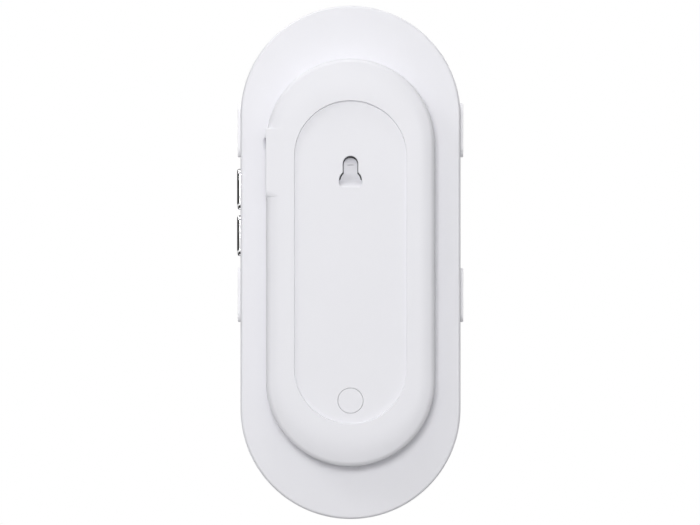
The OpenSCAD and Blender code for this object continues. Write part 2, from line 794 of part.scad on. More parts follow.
module side_pad(sx, sy) color(white) placed()
  mirror([sx > 0 ? 0 : 1, 0, 0]) side_pill(body_w / 2 - pad_in, body_w / 2 + pad_proud,
    keys_y + sy * pad_pitch / 2, side_z, pad_w, pad_l);

// ---- Camera and motion sensor ----

module led_place(i) {
  translate([0, lens_y, 0]) rotate([0, 0, (i - 0.5) * 360 / LEDS])
    translate([led_at, 0, 0]) children();
}

module camera_window() color(glass) placed() difference() {
  translate([0, window_y, 0]) pill(window_w, window_l, window_z, front_z);
  rod(pir_r, 0, pir_y, window_z - 1, front_z + 1);
}

module window_tape() color(black) placed() translate([0, window_y, 0]) difference() {
  pill(window_w - 0.4, window_l - 0.4, window_z - tape_t, window_z);
  pill(window_w - 0.4 - 2 * tape_w, window_l - 0.4 - 2 * tape_w, window_z - 1, window_z + 1);
}

lens_r = 4.2;
module lens_glass() color(glass) placed() difference() {
  union() {
    rod(lens_r, 0, lens_y, barrel_z1 - 1.6, barrel_z1 - 0.6);
    intersection() {
      translate([0, lens_y, barrel_z1 - 9]) sphere(9);
      rod(lens_r, 0, lens_y, barrel_z1 - 1.6, barrel_z1);
    }
  }
}

module lens_barrel() color(black) placed() difference() {
  union() {
    rod(barrel_r, 0, lens_y, holder_z0 + sensor_t + 0.4, barrel_z1);
    rod(barrel_head_r, 0, lens_y, holder_z1 + 0.2, barrel_z1);
  }
  rod(lens_r + pin_gap, 0, lens_y, barrel_z1 - 1.6, barrel_z1 + 1);
  rod(3, 0, lens_y, holder_z0, barrel_z1);
}

module lens_holder() color(black) placed() difference() {
  block(-camera_w / 2, camera_w / 2, lens_y - camera_w / 2, lens_y + camera_w / 2, holder_z0, holder_z1);
  rod(barrel_r + pin_gap, 0, lens_y, holder_z0 - 1, holder_z1 + 1);
}

module lens_baffle() color(black) placed()
  tube(baffle_r, barrel_head_r + fit_gap, 0, lens_y, face_z - 1.4, window_z - fit_gap);

module image_sensor() color("darkslategray") placed()
  block(-3.5, 3.5, lens_y - 3, lens_y + 3, holder_z0, holder_z0 + sensor_t);

module camera_board() color(green) placed()
  block(-camera_w / 2 - 0.5, camera_w / 2 + 0.5, lens_y - camera_w / 2 - 0.5,
        lens_y + camera_w / 2 + 0.5, board_z1, holder_z0);

module infrared_leds() color([0.3, 0.15, 0.3]) placed()
  for (i = [1:LEDS]) led_place(i) {
    rod(led_r, 0, 0, led_board_z1, window_z - 1);
    translate([0, 0, window_z - 1]) intersection() {
      sphere(led_r);
      rod(led_r, 0, 0, -eps, 0.7);
    }
  }

module infrared_board() color(green) placed()
  tube(led_board_r, baffle_r + 0.8, 0, lens_y, led_board_z1 - led_board_t, led_board_z1);

module motion_lens() color(soft_white) placed() difference() {
  union() {
    rod(pir_r - fit_gap, 0, pir_y, face_z - 0.8, front_z);
    rod(pir_r + 1.4, 0, pir_y, face_z - 0.8, face_z);
    intersection() {
      translate([0, pir_y, front_z + 0.9 - 18]) sphere(18);
      rod(pir_r - fit_gap, 0, pir_y, front_z - eps, front_z + 2);
    }
  }
  rod(pir_r - 0.9, 0, pir_y, face_z - 2, front_z - 0.8);
}

module motion_sensor() color(metal) placed() {
  rod(pir_base_r, 0, pir_y, board_z1, board_z1 + 0.6);
  rod(pir_can_r, 0, pir_y, board_z1, board_z1 + 3.8);
}

// ---- Sound and status ----

module microphone() color(metal) placed()
  block(-mic_x - 1.9, -mic_x + 1.9, grille_y - 1.4, grille_y + 1.4, board_z1, board_z1 + 1);

module microphone_gasket() color(black) placed()
  tube(2, 0.7, -mic_x, grille_y, board_z1 + 1, face_z);

module status_light() color(soft_white) placed() {
  rod(1.6, mic_x, grille_y, board_z1, face_z);
  rod(1 - fit_gap, mic_x, grille_y, face_z - eps, front_z);
}

module speaker() color(black) placed() {
  z1 = face_z - speaker_seal_t;
  translate([0, speaker_y, z1 - speaker_t]) rotate([0, 0, 90]) linear_extrude(speaker_t)
    pill2d(speaker_w, speaker_l);
}

module speaker_gasket() color("dimgray") placed()
  translate([0, speaker_y, face_z - speaker_seal_t]) linear_extrude(speaker_seal_t) rotate(90)
    difference() {
      pill2d(speaker_w, speaker_l);
      pill2d(speaker_w - 2, speaker_l - 2);
    }

// ---- Call button ----

dish_r = 70;
module call_button() color(white) placed() difference() {
  union() {
    rod(call_r, 0, call_y, call_flange_z1 - eps, front_z + call_proud);
    rod(flange_r, 0, call_y, call_flange_z0, call_flange_z1);
    rod(2, 0, call_y, call_post_z, call_flange_z0 + eps);
  }
  translate([0, call_y, front_z + call_proud - 1 + dish_r]) sphere(dish_r);
}

module light_ring() color(soft_white) placed()
  tube(ring_r, call_r + run_gap, 0, call_y, ring_z, front_z);

module call_membrane() color("gainsboro") placed() {
  rod(rib_r, 0, call_y, membrane_z0, membrane_z1);
  rod(3, 0, call_y, membrane_z1 - eps, membrane_z1 + membrane_pad_t);
  tube(rib_r, rib_r - 1.4, 0, call_y, call_board_z1, membrane_z0 + eps);
}

module call_switch() color(black) placed() {
  block(-3, 3, call_y - 3, call_y + 3, call_board_z1, membrane_z0 - 0.3);
  rod(1.6, 0, call_y, membrane_z0 - 0.3 - eps, membrane_z0);
  for (i = [1:8]) translate([0, call_y, 0]) rotate([0, 0, i * 45 + 22.5])
    block(call_r - 0.8, call_r + 0.8, -0.9, 0.9, call_board_z1, call_board_z1 + 0.6);
}

module call_board() color(green) placed() difference() {
  union() {
    rod(rib_r, 0, call_y, call_board_z0, call_board_z1);
    for (a = EARS) translate([0, call_y, 0]) rotate([0, 0, a]) {
      rod(ear_r, ear_at, 0, call_board_z0, call_board_z1);
      block(rib_r - 1, ear_at, -ear_r, ear_r, call_board_z0, call_board_z1);
    }
  }
  for (a = EARS) translate([0, call_y, 0]) rotate([0, 0, a])
    rod(screw_r + 0.2, ear_at, 0, call_board_z0 - 1, call_board_z1 + 1);
}

// Screws of the call board and of the main board
module board_screws() color(metal) placed() {
  for (a = EARS) translate([0, call_y, 0]) rotate([0, 0, a]) screw(ear_at, 0, call_board_z0, 1);
  for (sx = SIDES, y = BOARD_BOSSES) screw(sx * board_boss_x, y, board_z0, 1);
}

// ---- Main board ----

module main_board() color(green) placed() difference() {
  pill_l = 2 * board_y1;
  pill(board_w, pill_l, board_z0, board_z1);
  block(-board_w, board_w, -pill_l, board_y0, board_z0 - 1, board_z1 + 1);
  for (sx = SIDES, y = BOARD_BOSSES)
    rod(screw_r + 0.2, sx * board_boss_x, y, board_z0 - 1, board_z1 + 1);
}

// Shield can, antenna, chips and the plug to the call board, all soldered to the main board
module board_parts() color(metal) placed() {
  block(-can_w / 2, can_w / 2, can_y0, can_y0 + can_l, board_z1, board_z1 + can_t);
  block(-4.5, 4.5, board_y1 - 4.5, board_y1 - 1.5, board_z1, board_z1 + 1.2);
  block(-5, 5, board_y0 + 0.3, board_y0 + 2.6, board_z1, call_board_z0);
  for (x = [-11, 1, 11]) block(x - 3, x + 3, pir_y - 8, pir_y - 1, board_z0 - 1, board_z0);
}

rear_housing();
hub_shell();
front_housing();
housing_gasket();
hub_gasket();
hub_screws();
keyhole_cover();
pairing_button();
pairing_switch();
pairing_board();
pairing_screws();
pairing_link();
port_cover();
port_cover_pin();
port_cover_seal();
charging_receptacle();
charging_tongue();
charging_board();
charging_screws();
charging_link();
battery();
battery_foam();
battery_pad();
battery_leads();
battery_connector();
volume_button(1);  // volume_up_button
volume_button(-1);  // volume_down_button
volume_seals();
volume_switches();
side_board();
side_link();
side_pad(1, 1);  // side_pad_right_upper
side_pad(1, -1);  // side_pad_right_lower
side_pad(-1, 1);  // side_pad_left_upper
side_pad(-1, -1);  // side_pad_left_lower
camera_window();
window_tape();
lens_glass();
lens_barrel();
lens_holder();
lens_baffle();
image_sensor();
camera_board();
infrared_leds();
infrared_board();
motion_lens();
motion_sensor();
microphone();
microphone_gasket();
status_light();
call_button();
light_ring();
call_membrane();
call_switch();
call_board();
board_screws();
speaker();
speaker_gasket();
main_board();
board_parts();
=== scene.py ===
import json
import math

import bmesh
import bpy
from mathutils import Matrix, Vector


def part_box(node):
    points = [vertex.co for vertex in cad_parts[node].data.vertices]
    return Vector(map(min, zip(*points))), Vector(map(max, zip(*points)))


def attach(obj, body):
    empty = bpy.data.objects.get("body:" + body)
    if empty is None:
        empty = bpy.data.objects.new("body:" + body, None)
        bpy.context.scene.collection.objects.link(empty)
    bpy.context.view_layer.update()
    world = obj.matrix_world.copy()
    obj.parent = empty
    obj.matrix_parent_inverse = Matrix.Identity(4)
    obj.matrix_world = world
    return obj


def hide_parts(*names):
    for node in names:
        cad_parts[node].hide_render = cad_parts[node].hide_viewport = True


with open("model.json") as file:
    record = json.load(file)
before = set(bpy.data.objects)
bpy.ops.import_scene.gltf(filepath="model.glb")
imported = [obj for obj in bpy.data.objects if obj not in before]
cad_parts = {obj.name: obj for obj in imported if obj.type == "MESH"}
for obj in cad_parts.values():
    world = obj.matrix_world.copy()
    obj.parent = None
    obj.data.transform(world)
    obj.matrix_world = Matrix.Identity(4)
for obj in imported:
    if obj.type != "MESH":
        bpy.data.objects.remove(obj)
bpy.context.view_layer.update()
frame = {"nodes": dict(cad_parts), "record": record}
NODES = frame["nodes"]
MM = 0.001

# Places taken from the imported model
BODY_LO, BODY_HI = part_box("front_housing")
HUB_LO, HUB_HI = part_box("hub_shell")
MID_Z = (BODY_LO.z + BODY_HI.z) / 2
BODY_OF = {n: b for b, names in frame["record"]["behaviour"]["bodies"].items() for n in names}
SLOT_OF = {n: o.data.materials[0].name for n, o in NODES.items()}


# ---- Materials, in metres ----

LOOKS = {}                # the material of each slot
NOISE_SPAN = (0.3, 0.7)   # nearly all of a noise lies between these values
BROAD_SCALE = 45          # scale of the noise that drifts across a whole piece


def socket(node, name, value):
    node.inputs[name].default_value = value


def material(name):
    mat = bpy.data.materials.new("look_" + name)
    mat.use_nodes = True
    tree = mat.node_tree
    return mat, tree, tree.nodes["Principled BSDF"]


def noise(tree, scale, detail):
    where = tree.nodes.new("ShaderNodeTexCoord")
    tex = tree.nodes.new("ShaderNodeTexNoise")
    socket(tex, "Scale", scale)
    socket(tex, "Detail", detail)
    tree.links.new(where.outputs["Object"], tex.inputs["Vector"])
    return tex.outputs["Fac"]


def ranged(tree, fac, low, high, source=NOISE_SPAN):
    """A factor stretched from its source range to the range from low to high."""
    node = tree.nodes.new("ShaderNodeMapRange")
    for name, value in zip(("From Min", "From Max", "To Min", "To Max"), (*source, low, high)):
        socket(node, name, value)
    tree.links.new(fac, node.inputs["Value"])
    return node.outputs["Result"]


def two_tone(tree, fac, *colours):
    ramp = tree.nodes.new("ShaderNodeValToRGB")
    for stop, place, colour in zip(ramp.color_ramp.elements, NOISE_SPAN, colours):
        stop.position = place
        stop.color = (*colour, 1)
    tree.links.new(fac, ramp.inputs["Fac"])
    return ramp.outputs["Color"]


def bump(tree, bsdf, height, strength, distance):
    node = tree.nodes.new("ShaderNodeBump")
    socket(node, "Strength", strength)
    socket(node, "Distance", distance)
    tree.links.new(height, node.inputs["Height"])
    tree.links.new(node.outputs["Normal"], bsdf.inputs["Normal"])


def surface(name, colour, rough, spread, tone, grain=None, metal=0.0, **sockets):
    """The look of a slot: broad drift of tone and roughness, and a size, strength, depth grain."""
    mat, tree, bsdf = material(name)
    broad = noise(tree, BROAD_SCALE, 2)
    darker = tuple(c * (1 - tone) for c in colour)
    tree.links.new(two_tone(tree, broad, darker, colour), bsdf.inputs["Base Color"])
    tree.links.new(ranged(tree, broad, rough - spread, rough + spread), bsdf.inputs["Roughness"])
    if grain:
        size, strength, depth = grain
        bump(tree, bsdf, noise(tree, 1 / size, 4), strength, depth)
    socket(bsdf, "Metallic", metal)
    for key, value in sockets.items():
        socket(bsdf, key.replace("_", " "), value)
    LOOKS[name] = mat


surface("shell_white", (0.80, 0.798, 0.835), 0.44, 0.03, 0.012, (0.00016, 0.16, 0.00002),
        Specular_IOR_Level=0.4)
surface("pad_white", (0.94, 0.938, 0.965), 0.5, 0.03, 0.015, (0.0001, 0.15, 0.00001))
surface("polished_metal", (0.86, 0.86, 0.87), 0.07, 0.02, 0.01, metal=1.0)
surface("dark_glass", (0.008, 0.008, 0.010), 0.04, 0.012, 0.05, Alpha=0.93)
surface("lens_glass", (0.012, 0.008, 0.05), 0.06, 0.02, 0.2, Coat_Weight=1.0, Coat_IOR=2.4,
        Coat_Roughness=0.03, Specular_IOR_Level=1.0, Specular_Tint=(0.5, 0.35, 1.0, 1.0))
surface("black_plastic", (0.018, 0.018, 0.02), 0.5, 0.05, 0.1, (0.0002, 0.3, 0.00003))
surface("milky_plastic", (0.78, 0.78, 0.80), 0.35, 0.03, 0.02, (0.00018, 0.1, 0.00001),
        Subsurface_Weight=0.15, Subsurface_Scale=0.001)
surface("grey_rubber", (0.07, 0.07, 0.075), 0.7, 0.05, 0.15, (0.00012, 0.4, 0.00002))
surface("soft_foam", (0.05, 0.05, 0.05), 0.9, 0.05, 0.4, (0.0003, 0.9, 0.0001))
surface("board_green", (0.012, 0.09, 0.04), 0.32, 0.05, 0.3, (0.0004, 0.15, 0.00002))
surface("steel", (0.55, 0.55, 0.56), 0.32, 0.06, 0.1, (0.0002, 0.2, 0.00001), metal=1.0)
surface("tin", (0.62, 0.62, 0.61), 0.3, 0.08, 0.12, (0.0003, 0.15, 0.00001), metal=1.0)
surface("flex_gold", (0.5, 0.26, 0.05), 0.35, 0.05, 0.15, (0.0003, 0.15, 0.00001))
surface("cell_wrap", (0.24, 0.31, 0.42), 0.3, 0.06, 0.1, (0.0012, 0.3, 0.00005))
surface("lead_red", (0.45, 0.02, 0.015), 0.45, 0.05, 0.1, (0.0002, 0.2, 0.00001))
surface("silicon", (0.06, 0.09, 0.11), 0.12, 0.03, 0.3, Coat_Weight=0.5)
surface("led_resin", (0.05, 0.03, 0.06), 0.12, 0.03, 0.3, Coat_Weight=0.5)
for node, obj in NODES.items():
    obj.data.materials[0] = LOOKS[SLOT_OF[node]]

# The camera window's clearer circle over the lens
CLEAR_R, CLEAR_BLUR = 0.0072, 0.0002
CLEAR_ALPHA, TINTED_ALPHA = 0.12, 0.87


def clear_circle(mat, centre):
    """Gives a tinted window its clearer circle about a point."""
    tree = mat.node_tree
    where = tree.nodes.new("ShaderNodeTexCoord")
    away = tree.nodes.new("ShaderNodeVectorMath")
    away.operation = "DISTANCE"
    away.inputs[1].default_value = centre
    tree.links.new(where.outputs["Object"], away.inputs[0])
    alpha = ranged(tree, away.outputs["Value"], CLEAR_ALPHA, TINTED_ALPHA,
                   (CLEAR_R - CLEAR_BLUR, CLEAR_R + CLEAR_BLUR))
    tree.links.new(alpha, tree.nodes["Principled BSDF"].inputs["Alpha"])


lens_lo, lens_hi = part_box("lens_glass")
clear_circle(LOOKS["dark_glass"], (0, BODY_LO.y, (lens_lo.z + lens_hi.z) / 2))


# ---- Mesh building, in millimetres: x across, y up from the body's centre, z from the wall ----

ARC = 48      # steps round half a circle
FINE = 0.12   # the small radius that moulding leaves on an edge
WELD = 1e-7   # metres within which points of a finished piece are one
PLACED = {}   # vertices of the mesh being built, by place, so that points that meet are one vertex


def at(x, y, z):
    return Vector((x * MM, -z * MM, MID_Z + y * MM))


def local(corner):
    """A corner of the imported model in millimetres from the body's centre and the wall."""
    return corner.x / MM, (corner.z - MID_Z) / MM, -corner.y / MM


def node_box(node):
    """Low and high corners of a node, in local millimetres."""
    lo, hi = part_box(node)
    (x0, y0, z1), (x1, y1, z0) = local(lo), local(hi)
    return (x0, y0, z0), (x1, y1, z1)


def new_mesh():
    PLACED.clear()
    return bmesh.new()


def vert(bm, p):
    key = tuple(round(c / MM, 4) for c in p)
    if key not in PLACED:
        PLACED[key] = bm.verts.new(p)
    return PLACED[key]


def face(bm, verts):
    verts = list(dict.fromkeys(verts))
    if len(verts) > 2 and not bm.faces.get(verts):
        bm.faces.new(verts)


def bridge(bm, a, b, closed=True):
    count = len(a)
    for i in range(count if closed else count - 1):
        j = (i + 1) % count
        face(bm, (a[i], a[j], b[j], b[i]))


def stack(bm, loops, closed=True):
    """Joins loops of equal length one after another and returns their vertices."""
    made = [loop if isinstance(loop[0], bmesh.types.BMVert) else [vert(bm, p) for p in loop]
            for loop in loops]
    for a, b in zip(made, made[1:]):
        bridge(bm, a, b, closed)
    return made


def capped(bm, loops):
    """A closed solid of stacked loops, with a face over the first and one over the last."""
    made = stack(bm, loops)
    bm.faces.new(made[0])
    bm.faces.new(made[-1])


def fill(bm, *loops):
    """A flat face between the first loop and the loops inside it."""
    edges = []
    for loop in loops:
        for v, w in zip(loop, loop[1:] + loop[:1]):
            if v is not w:
                edges.append(bm.edges.get((v, w)) or bm.edges.new((v, w)))
    bmesh.ops.triangle_fill(bm, use_beauty=True, use_dissolve=False,
                            edges=list(dict.fromkeys(edges)))


def turn_steps(n):
    """A quarter of a turn in n equal steps."""
    return [math.pi / 2 * i / n for i in range(n + 1)]


def quarter_round(r, n):
    """(distance in, drop) round an edge of radius r, from the flat that it leaves outward."""
    return [(r * (1 - math.sin(a)), r * (1 - math.cos(a))) for a in turn_steps(n)]


# An outline is a list of (x, y, normal x, normal y), anticlockwise.

def stadium(w, l, n=ARC):
    r, h = w / 2, (l - w) / 2
    out = []
    for turn, centre in ((0, h), (1, -h)):
        for i in range(n + 1):
            a = math.pi * (turn + i / n)
            out.append((r * math.cos(a), centre + r * math.sin(a), math.cos(a), math.sin(a)))
    return out


def circle(r, x0, y0, n):
    return [(x0 + r * math.cos(a), y0 + r * math.sin(a), math.cos(a), math.sin(a))
            for a in (2 * math.pi * i / n for i in range(n))]


def round_rect(w, l, r, n=12):
    out = []
    for cx, cy, turn in ((1, 1, 0), (-1, 1, 1), (-1, -1, 2), (1, -1, 3)):
        for i in range(n + 1):
            a = math.pi / 2 * (turn + i / n)
            out.append((cx * (w / 2 - r) + r * math.cos(a), cy * (l / 2 - r) + r * math.sin(a),
                        math.cos(a), math.sin(a)))
    return out


def rings(outline, profile):
    """Loops of points: the outline at each (distance in, height) of a profile."""
    return [[at(x - nx * d, y - ny * d, z) for x, y, nx, ny in outline] for d, z in profile]


def piece(name, bm, slot, body, nodes=(), crease=40, weld=True):
    if weld:
        bmesh.ops.remove_doubles(bm, verts=bm.verts, dist=WELD)
        bmesh.ops.dissolve_degenerate(bm, dist=WELD, edges=bm.edges)
        bmesh.ops.recalc_face_normals(bm, faces=bm.faces)
    for edge in bm.edges:
        flat = edge.calc_face_angle(0) < math.radians(crease)
        edge.smooth = len(edge.link_faces) == 2 and flat
    for polygon in bm.faces:
        polygon.smooth = True
    mesh = bpy.data.meshes.new(name)
    bm.to_mesh(mesh)
    bm.free()
    mesh.materials.append(LOOKS[slot])
    obj = bpy.data.objects.new(name, mesh)
    bpy.context.scene.collection.objects.link(obj)
    normals = obj.modifiers.new("normals", "WEIGHTED_NORMAL")
    normals.keep_sharp = True
    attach(obj, body)
    if nodes:
        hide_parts(*nodes)


# ---- Hub ----

HUB_W, HUB_L, HUB_D = local(HUB_HI)[0] * 2, (HUB_HI.z - HUB_LO.z) / MM, -HUB_LO.y / MM
HUB_RUN = (HUB_L - HUB_W) / 2
HUB_WALL = 3.1
HUB_DRAFT = 0.15
HUB_EDGE = 1.2                      # radius of the hub's rear edge
HUB_CROWN = 4.3                     # width of the slight crown that runs out to it, at the sides
END_CROWN = 2.3                     # how many times wider the crown is at the two ends
CROWN_DROP = 1.15
CROWN_POWER, LOW_POWER = 2.2, 3.0   # how fast the crown falls, and how fast at the hub's lower end
FLOOR_Z = 2.6                       # the cavity's floor

# The pocket in the hub's back
POCKET_W, POCKET_L, POCKET_D = 30.6, 88.0, 1.0
POCKET_LIP = [(-0.05, 0), (-0.015, 0.015), (0, 0.05)]   # (distance in, depth) round its rim
END_DRAFT, SIDE_DRAFT = 0.3, 0.03   # how far its wall leans in, at the ends and at the sides
COVE = 0.08                         # radius at the foot of its wall

# The keyhole, round the origin: a slot above a round entry, over a chamber for the screw's head
SLOT_R, SLOT_Y = 2.1, -MID_Z / MM
ENTRY_R, ENTRY_Y = 3.15, SLOT_Y - 4.7
CORNER_TURN, CORNER_UP = 0.06, 0.18   # where the rounded corner between them starts and ends
CHAMBER_R = ENTRY_R + 0.1
LIP_Z, KEY_Z = 2.0, 4.0
LIP_DRAFT = 0.06
KEY_BLOCK = CHAMBER_R + 1.6         # half width of the block that walls the chamber
RAMP_L = 1.9                        # the ramp that leads down into the entry
TONGUE_RISE, RISE_L = 1.1, 2.6      # how far the floor rises towards it, and over what length
RAMP_ROWS, RAMP_ACROSS = 10, 12     # faces down the ramp and across it

# The squared land beside the pocket: pairs are for its lower and its upper end
LAND_Y = (18.1, 36.3)
LAND_DRAFT = (1.3, 0.1)
LAND_Z = 2.5                        # depth of its ends
LAND_EDGE = 0.22
# (distance from the end, share of the way down to the hub's surface) as each end rolls off
LAND_ROLL = [((0, 0.45), (0.15, 0.32), (0.4, 0.18), (0.8, 0.07), (1.3, 0)), ((0, 0.02), (0.1, 0))]
# distances in from the side, then depths, at which its profile has points
LAND_ACROSS = (HUB_CROWN, 4.0, 3.5, 3.0, 2.5, 2.1, 1.75, 1.4, 1.1, 0.8, 0.5)
LAND_DOWN = (0.6, 1.0, 1.3)
LAND_APRON, LAND_FOOT = 0.25, 0.2   # how far beside the land, and how far up it, its foot runs

# The port's recess in the land, and the mouth of the receptacle behind it
PORT_Y = (19.6, 34.6)
PORT_Z = 1.65
PORT_DEPTH = HUB_W / 2 - 21.1
LUG_Y, LUG_Z = 21.35, 9.0
MOUTH_Y, MOUTH_Z, MOUTH_W, MOUTH_L = 27.1, 5.9, 3.7, 9.4

# The pairing button's hole, and the screws
PAIR_X, PAIR_Y, PAIR_HOLE_R, PAIR_EDGE = 0.0, -SLOT_Y - 10.75, 3.47, FINE * 0.8
SCREW_X, SCREW_Y = 9, 45
HUB_BOSS_R, BOARD_BOSS_R = 2.2, 1.9
PORT_BOSS_X, PORT_BOSS_DY, PORT_BOSS_Z = 9.2, 5.97, 7.46
PAIR_BOSS_X, PAIR_BOSS_Z = 7.4, 7.43
PILOT_R, PILOT_D = 0.82, 4.3
BOSS_SINK = 0.2                     # how deep each boss stands in the floor


def land_y(end, z):
    """Height of the drafted end of the land at a depth."""
    side = -1 if end == 0 else 1
    return LAND_Y[end] + side * LAND_DRAFT[end] * min(z, LAND_Z) / LAND_Z


def on_hub(y, d):
    """Distance out to the hub's side at height y, d inside its outline."""
    r = HUB_W / 2 - d
    over = abs(y) - HUB_RUN
    return r if over <= 0 else math.sqrt(r * r - over * over)


def toward(a, b, distance):
    """The point a distance from a towards b, or just short of halfway where they are close."""
    gap = (b - a).length
    return a if gap < 1e-9 else a + (b - a) * min(0.45, distance * MM / gap)


def round_edge(wide, power=CROWN_POWER):
    """Profile of the crown and the edge radius, with the crown's width times a factor."""
    span, inner = HUB_CROWN * wide, HUB_DRAFT + HUB_EDGE

    def crown(d):
        return CROWN_DROP * ((span - d) / span) ** power

    points = [(d, crown(d)) for d in (span + (inner - span) * i / 7 for i in range(7))]
    return points + [(HUB_DRAFT + d, z + crown(HUB_DRAFT + d))
                     for d, z in quarter_round(HUB_EDGE, 12)]


def hub_columns():
    """Columns of points from the back face round the edge to the rim, one after another."""
    f, deep = FINE, PORT_DEPTH
    top, low = HUB_D - f, [(f, HUB_D)]
    wall = [(HUB_DRAFT * (HUB_D - z) / (HUB_D - LAND_Z), z)
            for z in (LAND_Z, LAND_Z, LUG_Z, LUG_Z, top)]
    square = ([(d, 0) for d in LAND_ACROSS] + quarter_round(LAND_EDGE, 4)
              + [(0, z) for z in (*LAND_DOWN, PORT_Z - f)])
    rounded = round_edge(1) + wall + low
    land = square + [(0, z) for z in (PORT_Z, LAND_Z, LUG_Z, LUG_Z, top)] + low
    lip = square + [(f, z) for z in (PORT_Z, LAND_Z, LUG_Z, LUG_Z, top)] + [(2 * f, HUB_D)]
    lug = square + [(f, PORT_Z), (deep, PORT_Z), (deep, LUG_Z), (0, LUG_Z), (0, top)] + low
    port = square + [(f, PORT_Z)] + [(deep, z) for z in (PORT_Z, LUG_Z, LUG_Z, top, HUB_D)]

    def flat(y, profile):
        return [at(HUB_W / 2 - d, y, z) for d, z in profile]

    def radial(side, a):
        turn = math.sin(a) ** 2
        power = CROWN_POWER + (LOW_POWER - CROWN_POWER) * turn * (side < 0)
        profile = round_edge(1 + (END_CROWN - 1) * turn, power) + wall + low
        return [at((HUB_W / 2 - d) * math.cos(a),
                   side * HUB_RUN + (HUB_W / 2 - d) * math.sin(a), z) for d, z in profile]

    def end_columns(end):
        """The columns that lead from the rounded hub to the land at one of its ends."""
        side = -1 if end == 0 else 1

        def on_land(k, back):
            d, z = land[k]
            return at(HUB_W / 2 - d, land_y(end, z) - side * back, z)

        def beside(k, out):
            d, z = rounded[k]
            y = land_y(end, z) + side * out
            return at(on_hub(y, d), y, z)

        ks = range(len(land))
        steps = [[beside(k, LAND_APRON) for k in ks],
                 [toward(beside(k, 0), on_land(k, 0), LAND_FOOT) for k in ks]]
        steps += [[on_land(k, back).lerp(beside(k, -back), drop) for k in ks]
                  for back, drop in LAND_ROLL[end]]
        return steps if end == 0 else steps[::-1]

    columns = [flat(-HUB_RUN, rounded)] + end_columns(0)
    columns += [flat(y, profile) for y, profile in (
        (PORT_Y[0] - f, land), (PORT_Y[0], lip), (PORT_Y[0], lug), (LUG_Y, lug),
        (LUG_Y, port), (PORT_Y[1], port), (PORT_Y[1], lip), (PORT_Y[1] + f, land))]
    columns += end_columns(1)
    step = math.pi / ARC
    columns += [radial(1, i * step) for i in range(4, ARC + 1)]
    columns += [radial(-1, math.pi + i * step) for i in range(ARC)]
    return columns


def keyhole_outline():
    """The slot over the round entry, from the entry's right end round the top to its left end."""
    join = math.acos(SLOT_R / ENTRY_R)
    right = [(ENTRY_R * math.cos(a), ENTRY_Y + ENTRY_R * math.sin(a))
             for a in ((join - CORNER_TURN) * i / 10 for i in range(11))]
    corner = (SLOT_R, ENTRY_Y + ENTRY_R * math.sin(join))
    above = (SLOT_R, corner[1] + CORNER_UP)
    right += [tuple((1 - t) ** 2 * p + 2 * t * (1 - t) * c + t * t * q
                    for p, c, q in zip(right[10], corner, above)) for t in (0.3, 0.65, 1.0)]
    right += [(SLOT_R, above[1] + (SLOT_Y - above[1]) * i / 24) for i in range(1, 24)]
    top = [(SLOT_R * math.cos(a), SLOT_Y + SLOT_R * math.sin(a))
           for a in (math.pi * i / 32 for i in range(33))]
    return right + top + [(-x, y) for x, y in reversed(right)]


def grown(chain, out):
    """An open chain of points moved out to its right-hand side, by one distance or by one each."""
    moved = []
    for i, (x, y) in enumerate(chain):
        (ax, ay), (bx, by) = chain[max(i - 1, 0)], chain[min(i + 1, len(chain) - 1)]
        length = math.hypot(bx - ax, by - ay)
        d = out[i] if isinstance(out, list) else out
        moved.append((x + d * (by - ay) / length, y - d * (bx - ax) / length))
    return moved


def mirrored(points):
    return [Vector((-p.x, p.y, p.z)) for p in points]


def pocket_wall(nx):
    """Profile of the pocket's wall where its normal has this x: steeper at the sides."""
    draft = END_DRAFT + (SIDE_DRAFT - END_DRAFT) * nx * nx
    return POCKET_LIP + [(draft + COVE * (1 - math.cos(a)), POCKET_D - COVE + COVE * math.sin(a))
                         for a in turn_steps(4)]


